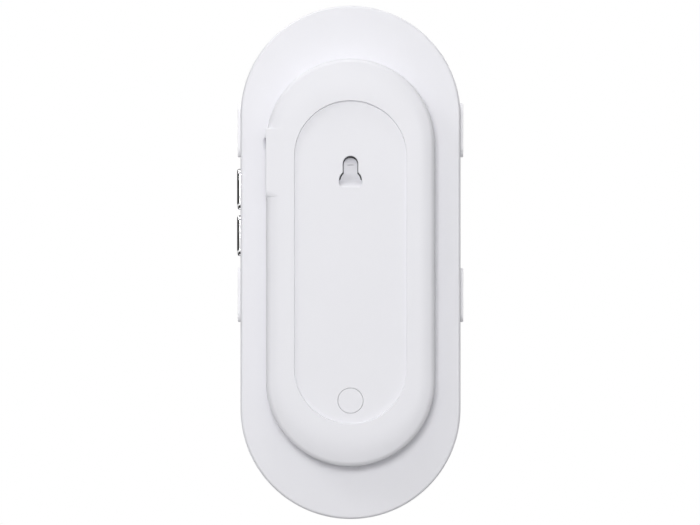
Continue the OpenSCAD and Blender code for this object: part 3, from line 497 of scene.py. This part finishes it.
def keyhole(bm):
    """Builds the keyhole; returns its rim in the pocket's floor and its block's in the cavity's."""
    chain = keyhole_outline()
    share = [j / RAMP_ROWS for j in range(RAMP_ROWS + 1)]
    ys = [ENTRY_Y - RAMP_L * j / RAMP_ROWS for j in range(RAMP_ROWS + 1)]
    half = [math.sqrt(ENTRY_R ** 2 - (y - ENTRY_Y) ** 2) for y in ys]

    # the ramp's height is a cubic that meets the tongue's slope at its foot
    top_z = KEY_Z - TONGUE_RISE
    slope = 2 * TONGUE_RISE / RISE_L * RAMP_L
    rise = top_z - POCKET_D
    ramp_z = [top_z - slope * t + (2 * slope - 3 * rise) * t ** 2 + (2 * rise - slope) * t ** 3
              for t in share]
    fine = [FINE * (1 - t ** 4) for t in share]
    right_top = [at(w * (1 + g / ENTRY_R), ENTRY_Y + (y - ENTRY_Y) * (1 + g / ENTRY_R), POCKET_D)
                 for w, y, g in zip(half, ys, fine)]
    right_mid = [at(w, y, min(POCKET_D + g, z)) for w, y, g, z in zip(half, ys, fine, ramp_z)]
    top = [at(x, y, POCKET_D) for x, y in grown(chain, FINE)]
    top[0], top[-1] = right_top[0], mirrored(right_top[:1])[0]
    mid = [at(x, y, POCKET_D + FINE) for x, y in chain]
    rim_top, rim_mid = stack(bm, [right_top[:0:-1] + top + mirrored(right_top[1:]),
                                  right_mid[:0:-1] + mid + mirrored(right_mid[1:])], closed=False)

    across = [1 - 2 * i / RAMP_ACROSS for i in range(RAMP_ACROSS + 1)]
    grid = [[vert(bm, at(w * s, y, z)) for s in across] for w, y, z in zip(half, ys, ramp_z)]
    for a, b in zip(grid, grid[1:]):
        bridge(bm, a, b, closed=False)
    foot = [vert(bm, at(half[0] * s, ENTRY_Y, KEY_Z)) for s in across]
    bridge(bm, foot, grid[0], closed=False)
    bridge(bm, rim_mid[RAMP_ROWS::-1], [row[0] for row in grid], closed=False)
    bridge(bm, rim_mid[-RAMP_ROWS - 1:], [row[-1] for row in grid], closed=False)

    chamber = []
    for x, y in chain:
        if y > SLOT_Y:
            a = math.atan2(y - SLOT_Y, x)
            chamber.append((CHAMBER_R * math.cos(a), SLOT_Y + CHAMBER_R * math.sin(a)))
        else:
            chamber.append((math.copysign(CHAMBER_R, x), y))
    inner = stack(bm, [rim_mid[RAMP_ROWS:-RAMP_ROWS],
                       [at(x, y, LIP_Z - FINE) for x, y in grown(chain, -LIP_DRAFT)],
                       [at(x, y, LIP_Z) for x, y in chamber],
                       [at(x, y, KEY_Z) for x, y in chamber]], closed=False)
    for end in (0, -1):
        face(bm, [loop[end] for loop in inner] + [foot[end], grid[0][end]])

    y0, y1 = ENTRY_Y - KEY_BLOCK, SLOT_Y + KEY_BLOCK
    corners = [(-KEY_BLOCK, y0), (KEY_BLOCK, y0), (KEY_BLOCK, y1), (-KEY_BLOCK, y1)]
    block = stack(bm, [[at(x, y, z) for x, y in corners] for z in (KEY_Z, FLOOR_Z)])
    fill(bm, block[0], inner[-1] + foot[::-1])
    return rim_top + grid[-1][-2:0:-1], block[1]


def port_mouth(bm):
    """The mouth of the charging port, from the recess through to the cavity."""
    recess_x, cavity_x = HUB_W / 2 - PORT_DEPTH, HUB_W / 2 - HUB_WALL
    mouth = stadium(MOUTH_W, MOUTH_L, 24)
    bore = stack(bm, [[at(x, MOUTH_Y + v + nv * g, MOUTH_Z + u + nu * g) for u, v, nu, nv in mouth]
                      for x, g in ((recess_x, FINE), (recess_x - FINE, 0), (cavity_x, 0))])
    for x, (y0, y1), (z0, z1), ring in (
            (recess_x, (LUG_Y, PORT_Y[1]), (PORT_Z, LUG_Z), bore[0]),
            (cavity_x, (-HUB_RUN, HUB_RUN), (FLOOR_Z, HUB_D - FINE), bore[-1])):
        corners = [vert(bm, at(x, y, z)) for y, z in ((y0, z0), (y1, z0), (y1, z1), (y0, z1))]
        bm.faces.remove(bm.faces.get(corners))
        fill(bm, corners, ring)


def boss(bm, x, y, r, top):
    """A screw boss that stands on the cavity's floor, with its pilot hole in the end."""
    capped(bm, rings(circle(r, x, y, 32),
                     [(0, FLOOR_Z - BOSS_SINK), (0, top - FINE), (FINE, top), (r - PILOT_R, top),
                      (r - PILOT_R, top - PILOT_D)]))


def hub_case():
    bm = new_mesh()
    columns = hub_columns()
    outer = stack(bm, [[column[k] for column in columns] for k in range(len(columns[0]))])
    pocket = stadium(POCKET_W, POCKET_L)
    steps = zip(*[pocket_wall(nx) for _, _, nx, _ in pocket])
    walls = stack(bm, [[at(x - nx * d, y - ny * d, z)
                        for (x, y, nx, ny), (d, z) in zip(pocket, step)] for step in steps])
    fill(bm, outer[0], walls[0])
    key_hole, key_block = keyhole(bm)
    hole = stack(bm, rings(circle(PAIR_HOLE_R, PAIR_X, PAIR_Y, 64),
                           [(-PAIR_EDGE, POCKET_D), (0, POCKET_D + PAIR_EDGE), (0, FLOOR_Z)]))
    fill(bm, walls[-1], hole[0], key_hole)
    cavity = stack(bm, rings(stadium(HUB_W - 2 * HUB_WALL, HUB_L - 2 * HUB_WALL),
                             [(0, FLOOR_Z), (0, HUB_D - FINE), (-FINE, HUB_D)]))
    fill(bm, cavity[0], hole[-1], key_block)
    fill(bm, outer[-1], cavity[-1])
    port_mouth(bm)
    for sx in (-1, 1):
        for sy in (-1, 1):
            boss(bm, sx * SCREW_X, sy * SCREW_Y, HUB_BOSS_R, HUB_D)
        boss(bm, PORT_BOSS_X, MOUTH_Y + sx * PORT_BOSS_DY, BOARD_BOSS_R, PORT_BOSS_Z)
        boss(bm, sx * PAIR_BOSS_X, PAIR_Y, BOARD_BOSS_R, PAIR_BOSS_Z)
    return bm


piece("hub_case", hub_case(), "shell_white", "doorbell", ["hub_shell"])


# ---- Keyhole floor: a plate whose tongue has a channel round it, with a dark rubber bead in it as painted shade ----

TONGUE_IN, TONGUE_IN_TOP, TONGUE_IN_ENTRY = 0.22, 0.28, 0.42   # from the keyhole's outline
CHANNEL_OUT, CHANNEL_D, BEAD_H = 0.12, 0.92, 0.15
TAPER_IN, TAPER_OUT = 0.5, 0.3     # lengths over which both narrow to nothing at the ramp
DIP_Y, DIP_L, DIP_D, DIP_POWER = 26.75, 1.65, 0.85, 1.8        # the dip under the slot's top
RIB_Y, RIB_H, RIB_L, RIB_W = 26.4, 0.3, 0.14, 0.75             # the low rib beneath the dip
TONGUE_ACROSS = 24


def tongue_z(x, y):
    fall = min(1, max(0, (y - DIP_Y) / DIP_L))
    rib = RIB_H * math.exp(-((y - RIB_Y) / RIB_L) ** 2 - (x / RIB_W) ** 6)
    rise = min(1, max(0, (ENTRY_Y + RISE_L - y) / RISE_L))
    return KEY_Z + DIP_D * fall ** DIP_POWER - rib - TONGUE_RISE * rise ** 2


def keyhole_floor():
    chain = keyhole_outline()
    inner, outer = [], []
    for x, y in chain:
        width = TONGUE_IN
        if y > SLOT_Y:
            width += TONGUE_IN_TOP * (y - SLOT_Y) / SLOT_R
        elif abs(x) > SLOT_R + 0.02:
            width = TONGUE_IN_ENTRY * min(1, (y - ENTRY_Y) / TAPER_IN)
        inner.append(-width)
        outer.append(CHANNEL_OUT * min(1, (y - ENTRY_Y) / TAPER_OUT))
    tongue, channel = grown(chain, inner), grown(chain, outer)
    for line in (tongue, channel):
        line[0], line[-1] = chain[0], chain[-1]
    deep = KEY_Z + CHANNEL_D

    bm = new_mesh()
    across = [1 - 2 * j / TONGUE_ACROSS for j in range(TONGUE_ACROSS + 1)]
    rows = [[vert(bm, at(x * s, y, tongue_z(x * s, y))) for s in across]
            for x, y in tongue[:(len(chain) + 1) // 2]]
    for a, b in zip(rows, rows[1:]):
        bridge(bm, a, b, closed=False)
    edge = [row[0] for row in rows] + [row[-1] for row in rows[-2::-1]]
    end = [vert(bm, at(v.co.x / MM, ENTRY_Y, KEY_Z)) for v in rows[0]]
    bridge(bm, end, rows[0], closed=False)
    stack(bm, [edge, [at(x, y, max(KEY_Z, tongue_z(x, y))) for x, y in tongue],
               [at(x, y, deep) for x, y in tongue], [at(x, y, deep) for x, y in channel],
               [at(x, y, KEY_Z) for x, y in channel]], closed=False)
    (x0, y0, z0), (x1, y1, z1) = node_box("keyhole_cover")
    plate = stack(bm, [[at(x, y, z) for x, y in ((x0, y0), (x1, y0), (x1, y1), (x0, y1))]
                       for z in (z0, z1)])
    bm.faces.new(plate[1])
    fill(bm, plate[0], [vert(bm, at(x, y, KEY_Z)) for x, y in channel] + end[-2:0:-1])
    piece("keyhole_tongue", bm, SLOT_OF["keyhole_cover"], "doorbell", ["keyhole_cover"])

    # The dark rubber bead in the channel is painted shade: it stands in for the dark gap round the
    # tongue.
    bm = new_mesh()
    bead = stack(bm, [[at(x, y, z) for x, y in line[1:-1]]
                      for line, z in ((tongue, deep), (tongue, deep - BEAD_H),
                                      (channel, deep - BEAD_H), (channel, deep))], closed=False)
    bridge(bm, bead[-1], bead[0], closed=False)
    for end in (0, -1):
        bm.faces.new([line[end] for line in bead])
    piece("keyhole_painted_shade_bead", bm, "grey_rubber", "doorbell")


keyhole_floor()


# ---- Back plate ----

BODY_W, BODY_L = (BODY_HI.x - BODY_LO.x) / MM, (BODY_HI.z - BODY_LO.z) / MM
BODY_RUN = (BODY_L - BODY_W) / 2
BODY_ARC = 72                      # steps round each end
PLATE_Z, SEAM_Z = HUB_D, -BODY_HI.y / MM
PLATE_EDGE, EDGE_DROP = 0.7, 1.15  # width and depth of its soft rear edge
EDGE_POWERS = (1.5, 2.2)           # its curve
SEAL_IN = (0.58, 1.42)             # the front seal's groove, inside the outline
HUB_SEAL_W = (40.36, 42.04)        # the hub seal's groove
GROOVE_D = 0.7
OPENING_W, OPENING_L, OPENING_R = 37, 80, 6
SCREW_HOLE_R = 1.0
SCOOP_Y, SCOOP_L, SCOOP_W, SCOOP_D = 28.3, 11.7, 1.3, 1.45
SHALLOW = 0.05                     # depth of the scoop's lower part
SHALLOW_T, DEEP_T, END_T = 0.12, 0.62, 0.95   # where it is full, where it deepens, where it ends
SCOOP_BLUNT = 5                    # how blunt its ends are
END_POWER = 1.3                    # how fast it deepens towards its upper end
SHALLOW_POWER, DEEP_POWER = 1.5, 2.6   # how fast both depths fall away from the hub
SCOOP_ALONG, SCOOP_ACROSS = 60, 12


def scoop_depth(t):
    """Depth along the scoop: shallow from its lower end, then deep under its steep upper end."""
    end = math.sqrt(max(0, 1 - (max(0, t - END_T) / (1 - END_T)) ** 2))
    shallow = SHALLOW * math.sqrt(max(0, 1 - (1 - min(1, t / SHALLOW_T)) ** 2))
    deep = (SCOOP_D - SHALLOW) * max(0, (min(t, END_T) - DEEP_T) / (END_T - DEEP_T)) ** END_POWER
    return shallow * end, deep * end


def scoop(bm):
    """Builds the fingernail scoop beside the hub and returns its rim in the plate's face."""
    x0 = HUB_W / 2
    grid = []
    for i in range(SCOOP_ALONG + 1):
        t = i / SCOOP_ALONG
        y = SCOOP_Y + SCOOP_L * (t - 0.5)
        wide = SCOOP_W * math.sqrt(max(0, 1 - abs(2 * t - 1) ** SCOOP_BLUNT))
        shallow, deep = scoop_depth(t)
        grid.append([vert(bm, at(x0 + wide * s, y, PLATE_Z + shallow * (1 - s) ** SHALLOW_POWER
                                 + deep * (1 - s) ** DEEP_POWER))
                     for s in (j / SCOOP_ACROSS for j in range(SCOOP_ACROSS + 1))])
    crest = [vert(bm, at(x0, SCOOP_Y + SCOOP_L * (i / SCOOP_ALONG - 0.5), PLATE_Z))
             for i in range(SCOOP_ALONG + 1)]
    for end in (0, -1):
        grid[end] = [crest[end]] * (SCOOP_ACROSS + 1)
    for a, b in zip(grid, grid[1:]):
        bridge(bm, a, b, closed=False)
    bridge(bm, crest, [row[0] for row in grid], closed=False)
    return [row[-1] for row in grid] + crest[-2:0:-1]


def back_plate():
    bm = new_mesh()
    rim = scoop(bm)
    edge = [(PLATE_EDGE * (1 - t) ** EDGE_POWERS[0], PLATE_Z + EDGE_DROP * t ** EDGE_POWERS[1])
            for t in (i / 10 for i in range(11))]
    body = stadium(BODY_W, BODY_L, BODY_ARC)
    outer = stack(bm, rings(body, edge + [(0, SEAM_Z - FINE), (FINE, SEAM_Z)]))
    groove = stack(bm, rings(body, [(SEAL_IN[0], SEAM_Z), (SEAL_IN[0], SEAM_Z - GROOVE_D),
                                    (SEAL_IN[1], SEAM_Z - GROOVE_D), (SEAL_IN[1], SEAM_Z)]))
    fill(bm, outer[-1], groove[0])
    outlines = [round_rect(OPENING_W, OPENING_L, OPENING_R)]
    outlines += [circle(SCREW_HOLE_R, sx * SCREW_X, sy * SCREW_Y, 32)
                 for sx in (-1, 1) for sy in (-1, 1)]
    holes = [stack(bm, rings(outline, [(0, SEAM_Z), (0, PLATE_Z)])) for outline in outlines]
    fill(bm, groove[-1], *[hole[0] for hole in holes])
    seal_in, seal_out = (stadium(w, 2 * HUB_RUN + w, 64) for w in HUB_SEAL_W)
    low_z = PLATE_Z + GROOVE_D
    hub_groove = stack(bm, rings(seal_in, [(0, PLATE_Z), (0, low_z)])
                       + rings(seal_out, [(0, low_z), (0, PLATE_Z)]))
    fill(bm, hub_groove[0], *[hole[1] for hole in holes])
    fill(bm, outer[0], hub_groove[-1], rim)
    return bm


piece("back_plate", back_plate(), "shell_white", "doorbell", ["rear_housing"])


# ---- Pieces cut from the frame's own solids, with fine radii on their edges ----

FRONT_Z = -BODY_LO.y / MM
SHARP = 28      # degrees from which an edge gets a radius


def edged(node, name, width, segments, pick=lambda x, y, z: True):
    """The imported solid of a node, with a radius along the sharp edges that pick chooses."""
    bm = bmesh.new()
    bm.from_mesh(NODES[node].data)
    bmesh.ops.remove_doubles(bm, verts=bm.verts, dist=1e-6)
    bmesh.ops.dissolve_limit(bm, angle_limit=math.radians(0.05), verts=bm.verts, edges=bm.edges)
    edges = [e for e in bm.edges if e.is_manifold and e.calc_face_angle(0) > math.radians(SHARP)
             and pick(*local((e.verts[0].co + e.verts[1].co) / 2))]
    bmesh.ops.bevel(bm, geom=edges, offset=width * MM, offset_type="OFFSET", segments=segments,
                    profile=0.5, affect="EDGES", clamp_overlap=False)
    piece(name, bm, SLOT_OF[node], BODY_OF[node], [node], crease=50, weld=False)


def outside(x, y, z):
    """The front face's edges, and the outermost edge at the seam."""
    return abs(z - FRONT_Z) < 0.01 or (
        abs(z - SEAM_Z) < 0.01 and math.hypot(x, max(abs(y) - BODY_RUN, 0)) > BODY_W / 2 - 0.5)


edged("front_housing", "front_case", FINE, 2, outside)
edged("port_cover", "port_door", 0.12, 2)
edged("camera_window", "window_glass", 0.18, 2, lambda x, y, z: z > FRONT_Z - 0.01)
edged("pairing_button", "pairing_key", 0.1, 2)
edged("call_button", "call_key", 0.2, 3, lambda x, y, z: z > FRONT_Z)


# ---- Camera lens and barrel, and motion lens ----

def turned(name, node, y, profile, closed=False):
    """A piece turned about the line at height y, from points (radius, distance from the wall)."""
    bm = new_mesh()
    made = stack(bm, [[at(x, cy, z) for x, cy, _, _ in circle(r, 0, y, 64)] for r, z in profile])
    if closed:
        bridge(bm, made[-1], made[0])
    piece(name, bm, SLOT_OF[node], BODY_OF[node], [node])


LENS_BALL, LENS_EDGE = 6.8, 0.1    # radius of the lens's dome, and of its rear edge
(_, lens_y0, lens_z0), (lens_r, lens_y1, lens_z1) = node_box("lens_glass")
LENS_Y = (lens_y0 + lens_y1) / 2
dome = [(LENS_BALL * math.sin(a), lens_z1 - LENS_BALL * (1 - math.cos(a)))
        for a in (math.asin(lens_r / LENS_BALL) * (1 - i / 14) for i in range(15))]
turned("lens_element", "lens_glass", LENS_Y,
       [(0, lens_z0), (lens_r - LENS_EDGE, lens_z0)]
       + [(r, max(z, lens_z0 + LENS_EDGE)) for r, z in dome])

(_, _, barrel_z0), (head_r, _, barrel_z1) = node_box("lens_barrel")
STEM_R, BORE_R, SEAT_R = 5.5, 3.0, lens_r + 0.05
HEAD_T, HEAD_LAND = 3.4, 0.6       # thickness of the barrel's head, and width of its flat face
FUNNEL_D, FUNNEL_IN = 0.75, 0.3    # depth of the stepped funnel, and width of its floor
STEP_W, STEP_H = 0.5, 0.22         # of each step
RISER_W, RISER_H = 0.12, 0.2       # of its slope
funnel_z, head_z0 = barrel_z1 - FUNNEL_D, barrel_z1 - HEAD_T
steps = [(SEAT_R, lens_z0), (SEAT_R, funnel_z)]
for i in range(4):
    r, z = SEAT_R + FUNNEL_IN + STEP_W * i, funnel_z + STEP_H * i
    steps += [(r, z), (r + RISER_W, z + RISER_H)]
steps += [(head_r - HEAD_LAND, barrel_z1), (head_r - FINE, barrel_z1), (head_r, barrel_z1 - FINE)]
turned("lens_barrel_turned", "lens_barrel", LENS_Y,
       [(BORE_R, barrel_z0), (BORE_R, lens_z0)] + steps
       + [(head_r, head_z0), (STEM_R, head_z0), (STEM_R, barrel_z0)], closed=True)

(_, dome_y0, dome_z0), (flange_r, dome_y1, dome_z1) = node_box("motion_lens")
CAP_R, CAP_BORE = flange_r - 1.5, flange_r - 2.3
CAP_T, CAP_EDGE, CAP_BALL = 0.8, 0.08, 18   # thickness, edge and radius of the shallow dome
FLANGE_T = 0.8
RINGS, RING_STEP = 37, 0.15                 # rings of points, from its edge to near its middle
GROOVE_EVERY, GROOVE_H = 6, 0.035           # fine ring grooves in it
cap = []
for i in range(RINGS):
    r = CAP_R - 0.35 - RING_STEP * i
    groove = GROOVE_H if i % GROOVE_EVERY == GROOVE_EVERY // 2 else 0
    cap.append((r, dome_z1 - CAP_BALL + math.sqrt(CAP_BALL ** 2 - r * r) - groove))
turned("motion_dome", "motion_lens", (dome_y0 + dome_y1) / 2,
       [(0, FRONT_Z - CAP_T), (CAP_BORE, FRONT_Z - CAP_T), (CAP_BORE, dome_z0), (flange_r, dome_z0),
        (flange_r, dome_z0 + FLANGE_T), (CAP_R, dome_z0 + FLANGE_T), (CAP_R, FRONT_Z - CAP_EDGE),
        (CAP_R - CAP_EDGE, FRONT_Z)] + cap + [(0, dome_z1)])


# ---- Side keys and pads, whose outlines lie in the body's sides ----

KEY_ROUND, PAD_ROUND = 0.66, 0.22      # radius of the outer edge
KEY_FLANGE, KEY_EDGE = 0.7, 0.05       # width of a key's flange round its cap, and its fine edges
CAP_ROOT_X, FLANGE_X = 27.2, (26.4, 27.25)
POST_W, POST_L, POST_TIP_X = 1.6, 3.0, 26.41


def side_solid(bm, centre, size, n, profile):
    """A closed stadium about a (y, z) centre, with (distance in, x) for each step of its depth."""
    (y, z), (w, l) = centre, size
    capped(bm, [[at(x, y + v - nv * d, z + u - nu * d) for u, v, nu, nv in stadium(w, l, n)]
                for d, x in profile])


def side_cap(node, edge_r, margin, root_x=None):
    """A mesh with the rounded outer part of a side piece, then its low x, centre and size."""
    (x0, y0, z0), (x1, y1, z1) = node_box(node)
    outward, tip, root = (1, x1, x0) if x1 > 0 else (-1, x0, x1)
    centre, size = ((y0 + y1) / 2, (z0 + z1) / 2), (z1 - z0, y1 - y0)
    bm = new_mesh()
    side_solid(bm, centre, (size[0] - 2 * margin, size[1] - 2 * margin), 24,
               [(d, tip - outward * drop) for d, drop in quarter_round(edge_r, 6)]
               + [(0, root if root_x is None else root_x)])
    return bm, x0, centre, size


# a volume key: a rounded cap through the wall, with its flange and post behind
for side in ("up", "down"):
    node = f"volume_{side}_button"
    bm, x0, centre, size = side_cap(node, KEY_ROUND, KEY_FLANGE, CAP_ROOT_X)
    for part, (a, b) in ((size, FLANGE_X), ((POST_W, POST_L), (x0, POST_TIP_X))):
        side_solid(bm, centre, part, 16,
                   [(KEY_EDGE, a), (0, a + KEY_EDGE), (0, b - KEY_EDGE), (KEY_EDGE, b)])
    piece(f"volume_{side}_key", bm, SLOT_OF[node], BODY_OF[node], [node])
for side in ("left_upper", "left_lower", "right_upper", "right_lower"):
    node = f"side_pad_{side}"
    piece(f"pad_{side}", side_cap(node, PAD_ROUND, 0)[0], "pad_white", "doorbell", [node])


# ---- Stage, in metres ----

ROOM_STRENGTH = 0.42
GROUND_Z, GROUND_R = BODY_LO.z - 0.06, 1.1
GROUND_HIDDEN, GROUND_SEEN = (0.4, 0.4, 0.4, 1), (0.8, 0.8, 0.8, 1)
CARD_DARK, CARD_BRIGHT = 0.03, 0.45    # glow of the cards at their foot and at their top
CARD_GLOW_Z = (0.3, 0.95)
CENTRE = Vector((0, 0, MID_Z))


def link(name, data):
    obj = bpy.data.objects.new(name, data)
    bpy.context.scene.collection.objects.link(obj)
    return obj


def seen_directly(tree):
    """1 for the camera's rays and for reflected and transmitted ones, and 0 for all others."""
    path = tree.nodes.new("ShaderNodeLightPath")
    last = path.outputs["Is Camera Ray"]
    for kind in ("Is Glossy Ray", "Is Transmission Ray"):
        either = tree.nodes.new("ShaderNodeMath")
        either.operation = "MAXIMUM"
        tree.links.new(last, either.inputs[0])
        tree.links.new(path.outputs[kind], either.inputs[1])
        last = either.outputs[0]
    return last


floor_mat, floor_tree, floor_bsdf = material("floor")
socket(floor_bsdf, "Roughness", 0.9)
shade = floor_tree.nodes.new("ShaderNodeMix")
shade.data_type = "RGBA"
shade.inputs[6].default_value = GROUND_HIDDEN   # its first and second colour
shade.inputs[7].default_value = GROUND_SEEN
floor_tree.links.new(seen_directly(floor_tree), shade.inputs["Factor"])
floor_tree.links.new(shade.outputs[2], floor_bsdf.inputs["Base Color"])

world = bpy.data.worlds.new("studio")
bpy.context.scene.world = world
world.use_nodes = True
sky = world.node_tree
sky.nodes.clear()
room, backdrop = (sky.nodes.new("ShaderNodeBackground") for _ in range(2))
socket(room, "Strength", ROOM_STRENGTH)
for light in (room, backdrop):
    socket(light, "Color", (1, 1, 1, 1))
chosen = sky.nodes.new("ShaderNodeMixShader")
sky_out = sky.nodes.new("ShaderNodeOutputWorld")
sky.links.new(seen_directly(sky), chosen.inputs["Fac"])
sky.links.new(room.outputs[0], chosen.inputs[1])
sky.links.new(backdrop.outputs[0], chosen.inputs[2])
sky.links.new(chosen.outputs[0], sky_out.inputs["Surface"])

floor_mesh = bpy.data.meshes.new("floor")
disc = bmesh.new()
bmesh.ops.create_circle(disc, cap_ends=True, segments=96, radius=GROUND_R)
disc.to_mesh(floor_mesh)
disc.free()
floor_mesh.materials.append(floor_mat)
floor = link("floor", floor_mesh)
floor.location = (0, 0, GROUND_Z)

card_mat, card_tree, card_bsdf = material("card")
socket(card_bsdf, "Base Color", (0, 0, 0, 1))
socket(card_bsdf, "Roughness", 1.0)
socket(card_bsdf, "Emission Color", (1, 1, 1, 1))
card_place = card_tree.nodes.new("ShaderNodeTexCoord")
card_axes = card_tree.nodes.new("ShaderNodeSeparateXYZ")
card_tree.links.new(card_place.outputs["Object"], card_axes.inputs[0])
card_glow = ranged(card_tree, card_axes.outputs["Z"], CARD_DARK, CARD_BRIGHT, CARD_GLOW_Z)
card_tree.links.new(card_glow, card_bsdf.inputs["Emission Strength"])


def as_card(name, bm):
    """A card that only reflections show."""
    mesh = bpy.data.meshes.new(name)
    bm.to_mesh(mesh)
    bm.free()
    mesh.materials.append(card_mat)
    card = link(name, mesh)
    for ray in ("camera", "diffuse", "transmission", "volume_scatter", "shadow"):
        setattr(card, "visible_" + ray, False)


def curved_card(name, first, last, low, steps, high=0.95, radius=0.9):
    """An upright card between two angles from +Y towards +X."""
    bm = bmesh.new()
    rows = [[bm.verts.new((radius * math.sin(a), radius * math.cos(a), z)) for z in (low, high)]
            for a in (math.radians(first + (last - first) * i / steps) for i in range(steps + 1))]
    for a, b in zip(rows, rows[1:]):
        bm.faces.new((a[0], a[1], b[1], b[0]))
    as_card(name, bm)


# the first card leaves a gap for the camera, and the second closes it above the camera's view
curved_card("card_round", 14, 346, -0.09, 48)
curved_card("card_above", -14, 14, 0.3, 24)
disc = bmesh.new()
bmesh.ops.create_circle(disc, cap_ends=True, segments=48, radius=0.22)
bmesh.ops.translate(disc, verts=disc.verts, vec=(0, 0, GROUND_Z + 0.005))
as_card("card_low", disc)

for name, offset, size, power in (
        ("front", (0.08, 1.2, 0.2), 0.3, 5.6),
        ("front_right", (-0.25, 1.15, 0.25), 0.3, 0.5),
        ("upper_left", (0.62, 0.5, 0.6), 0.3, 1.2),
        ("top", (0.0, 0.15, 1.0), 0.4, 2.6),
        ("left", (1.0, 0.34, 0.3), 0.25, 0.2),
        ("street_side", (-0.35, -1.15, 0.5), 0.8, 7),
        ("street_side_upper", (0.6, -0.7, 0.9), 0.35, 3.5)):
    lamp_data = bpy.data.lights.new(name, "AREA")
    lamp_data.shape = "DISK"
    lamp_data.size = size
    lamp_data.energy = power
    lamp = link(name, lamp_data)
    lamp.location = CENTRE + Vector(offset)
    lamp.rotation_euler = (-Vector(offset)).to_track_quat("-Z", "Y").to_euler()

cam_data = bpy.data.cameras.new("camera")
cam_data.lens = 400
cam_data.sensor_width = 36
cam_data.clip_end = 10
camera = link("camera", cam_data)
camera.location = (0.00014, 2.1103, MID_Z - 0.00005)
camera.rotation_euler = (math.radians(90), 0, math.radians(180))
bpy.context.scene.camera = camera
bpy.context.scene.view_settings.view_transform = "Standard"
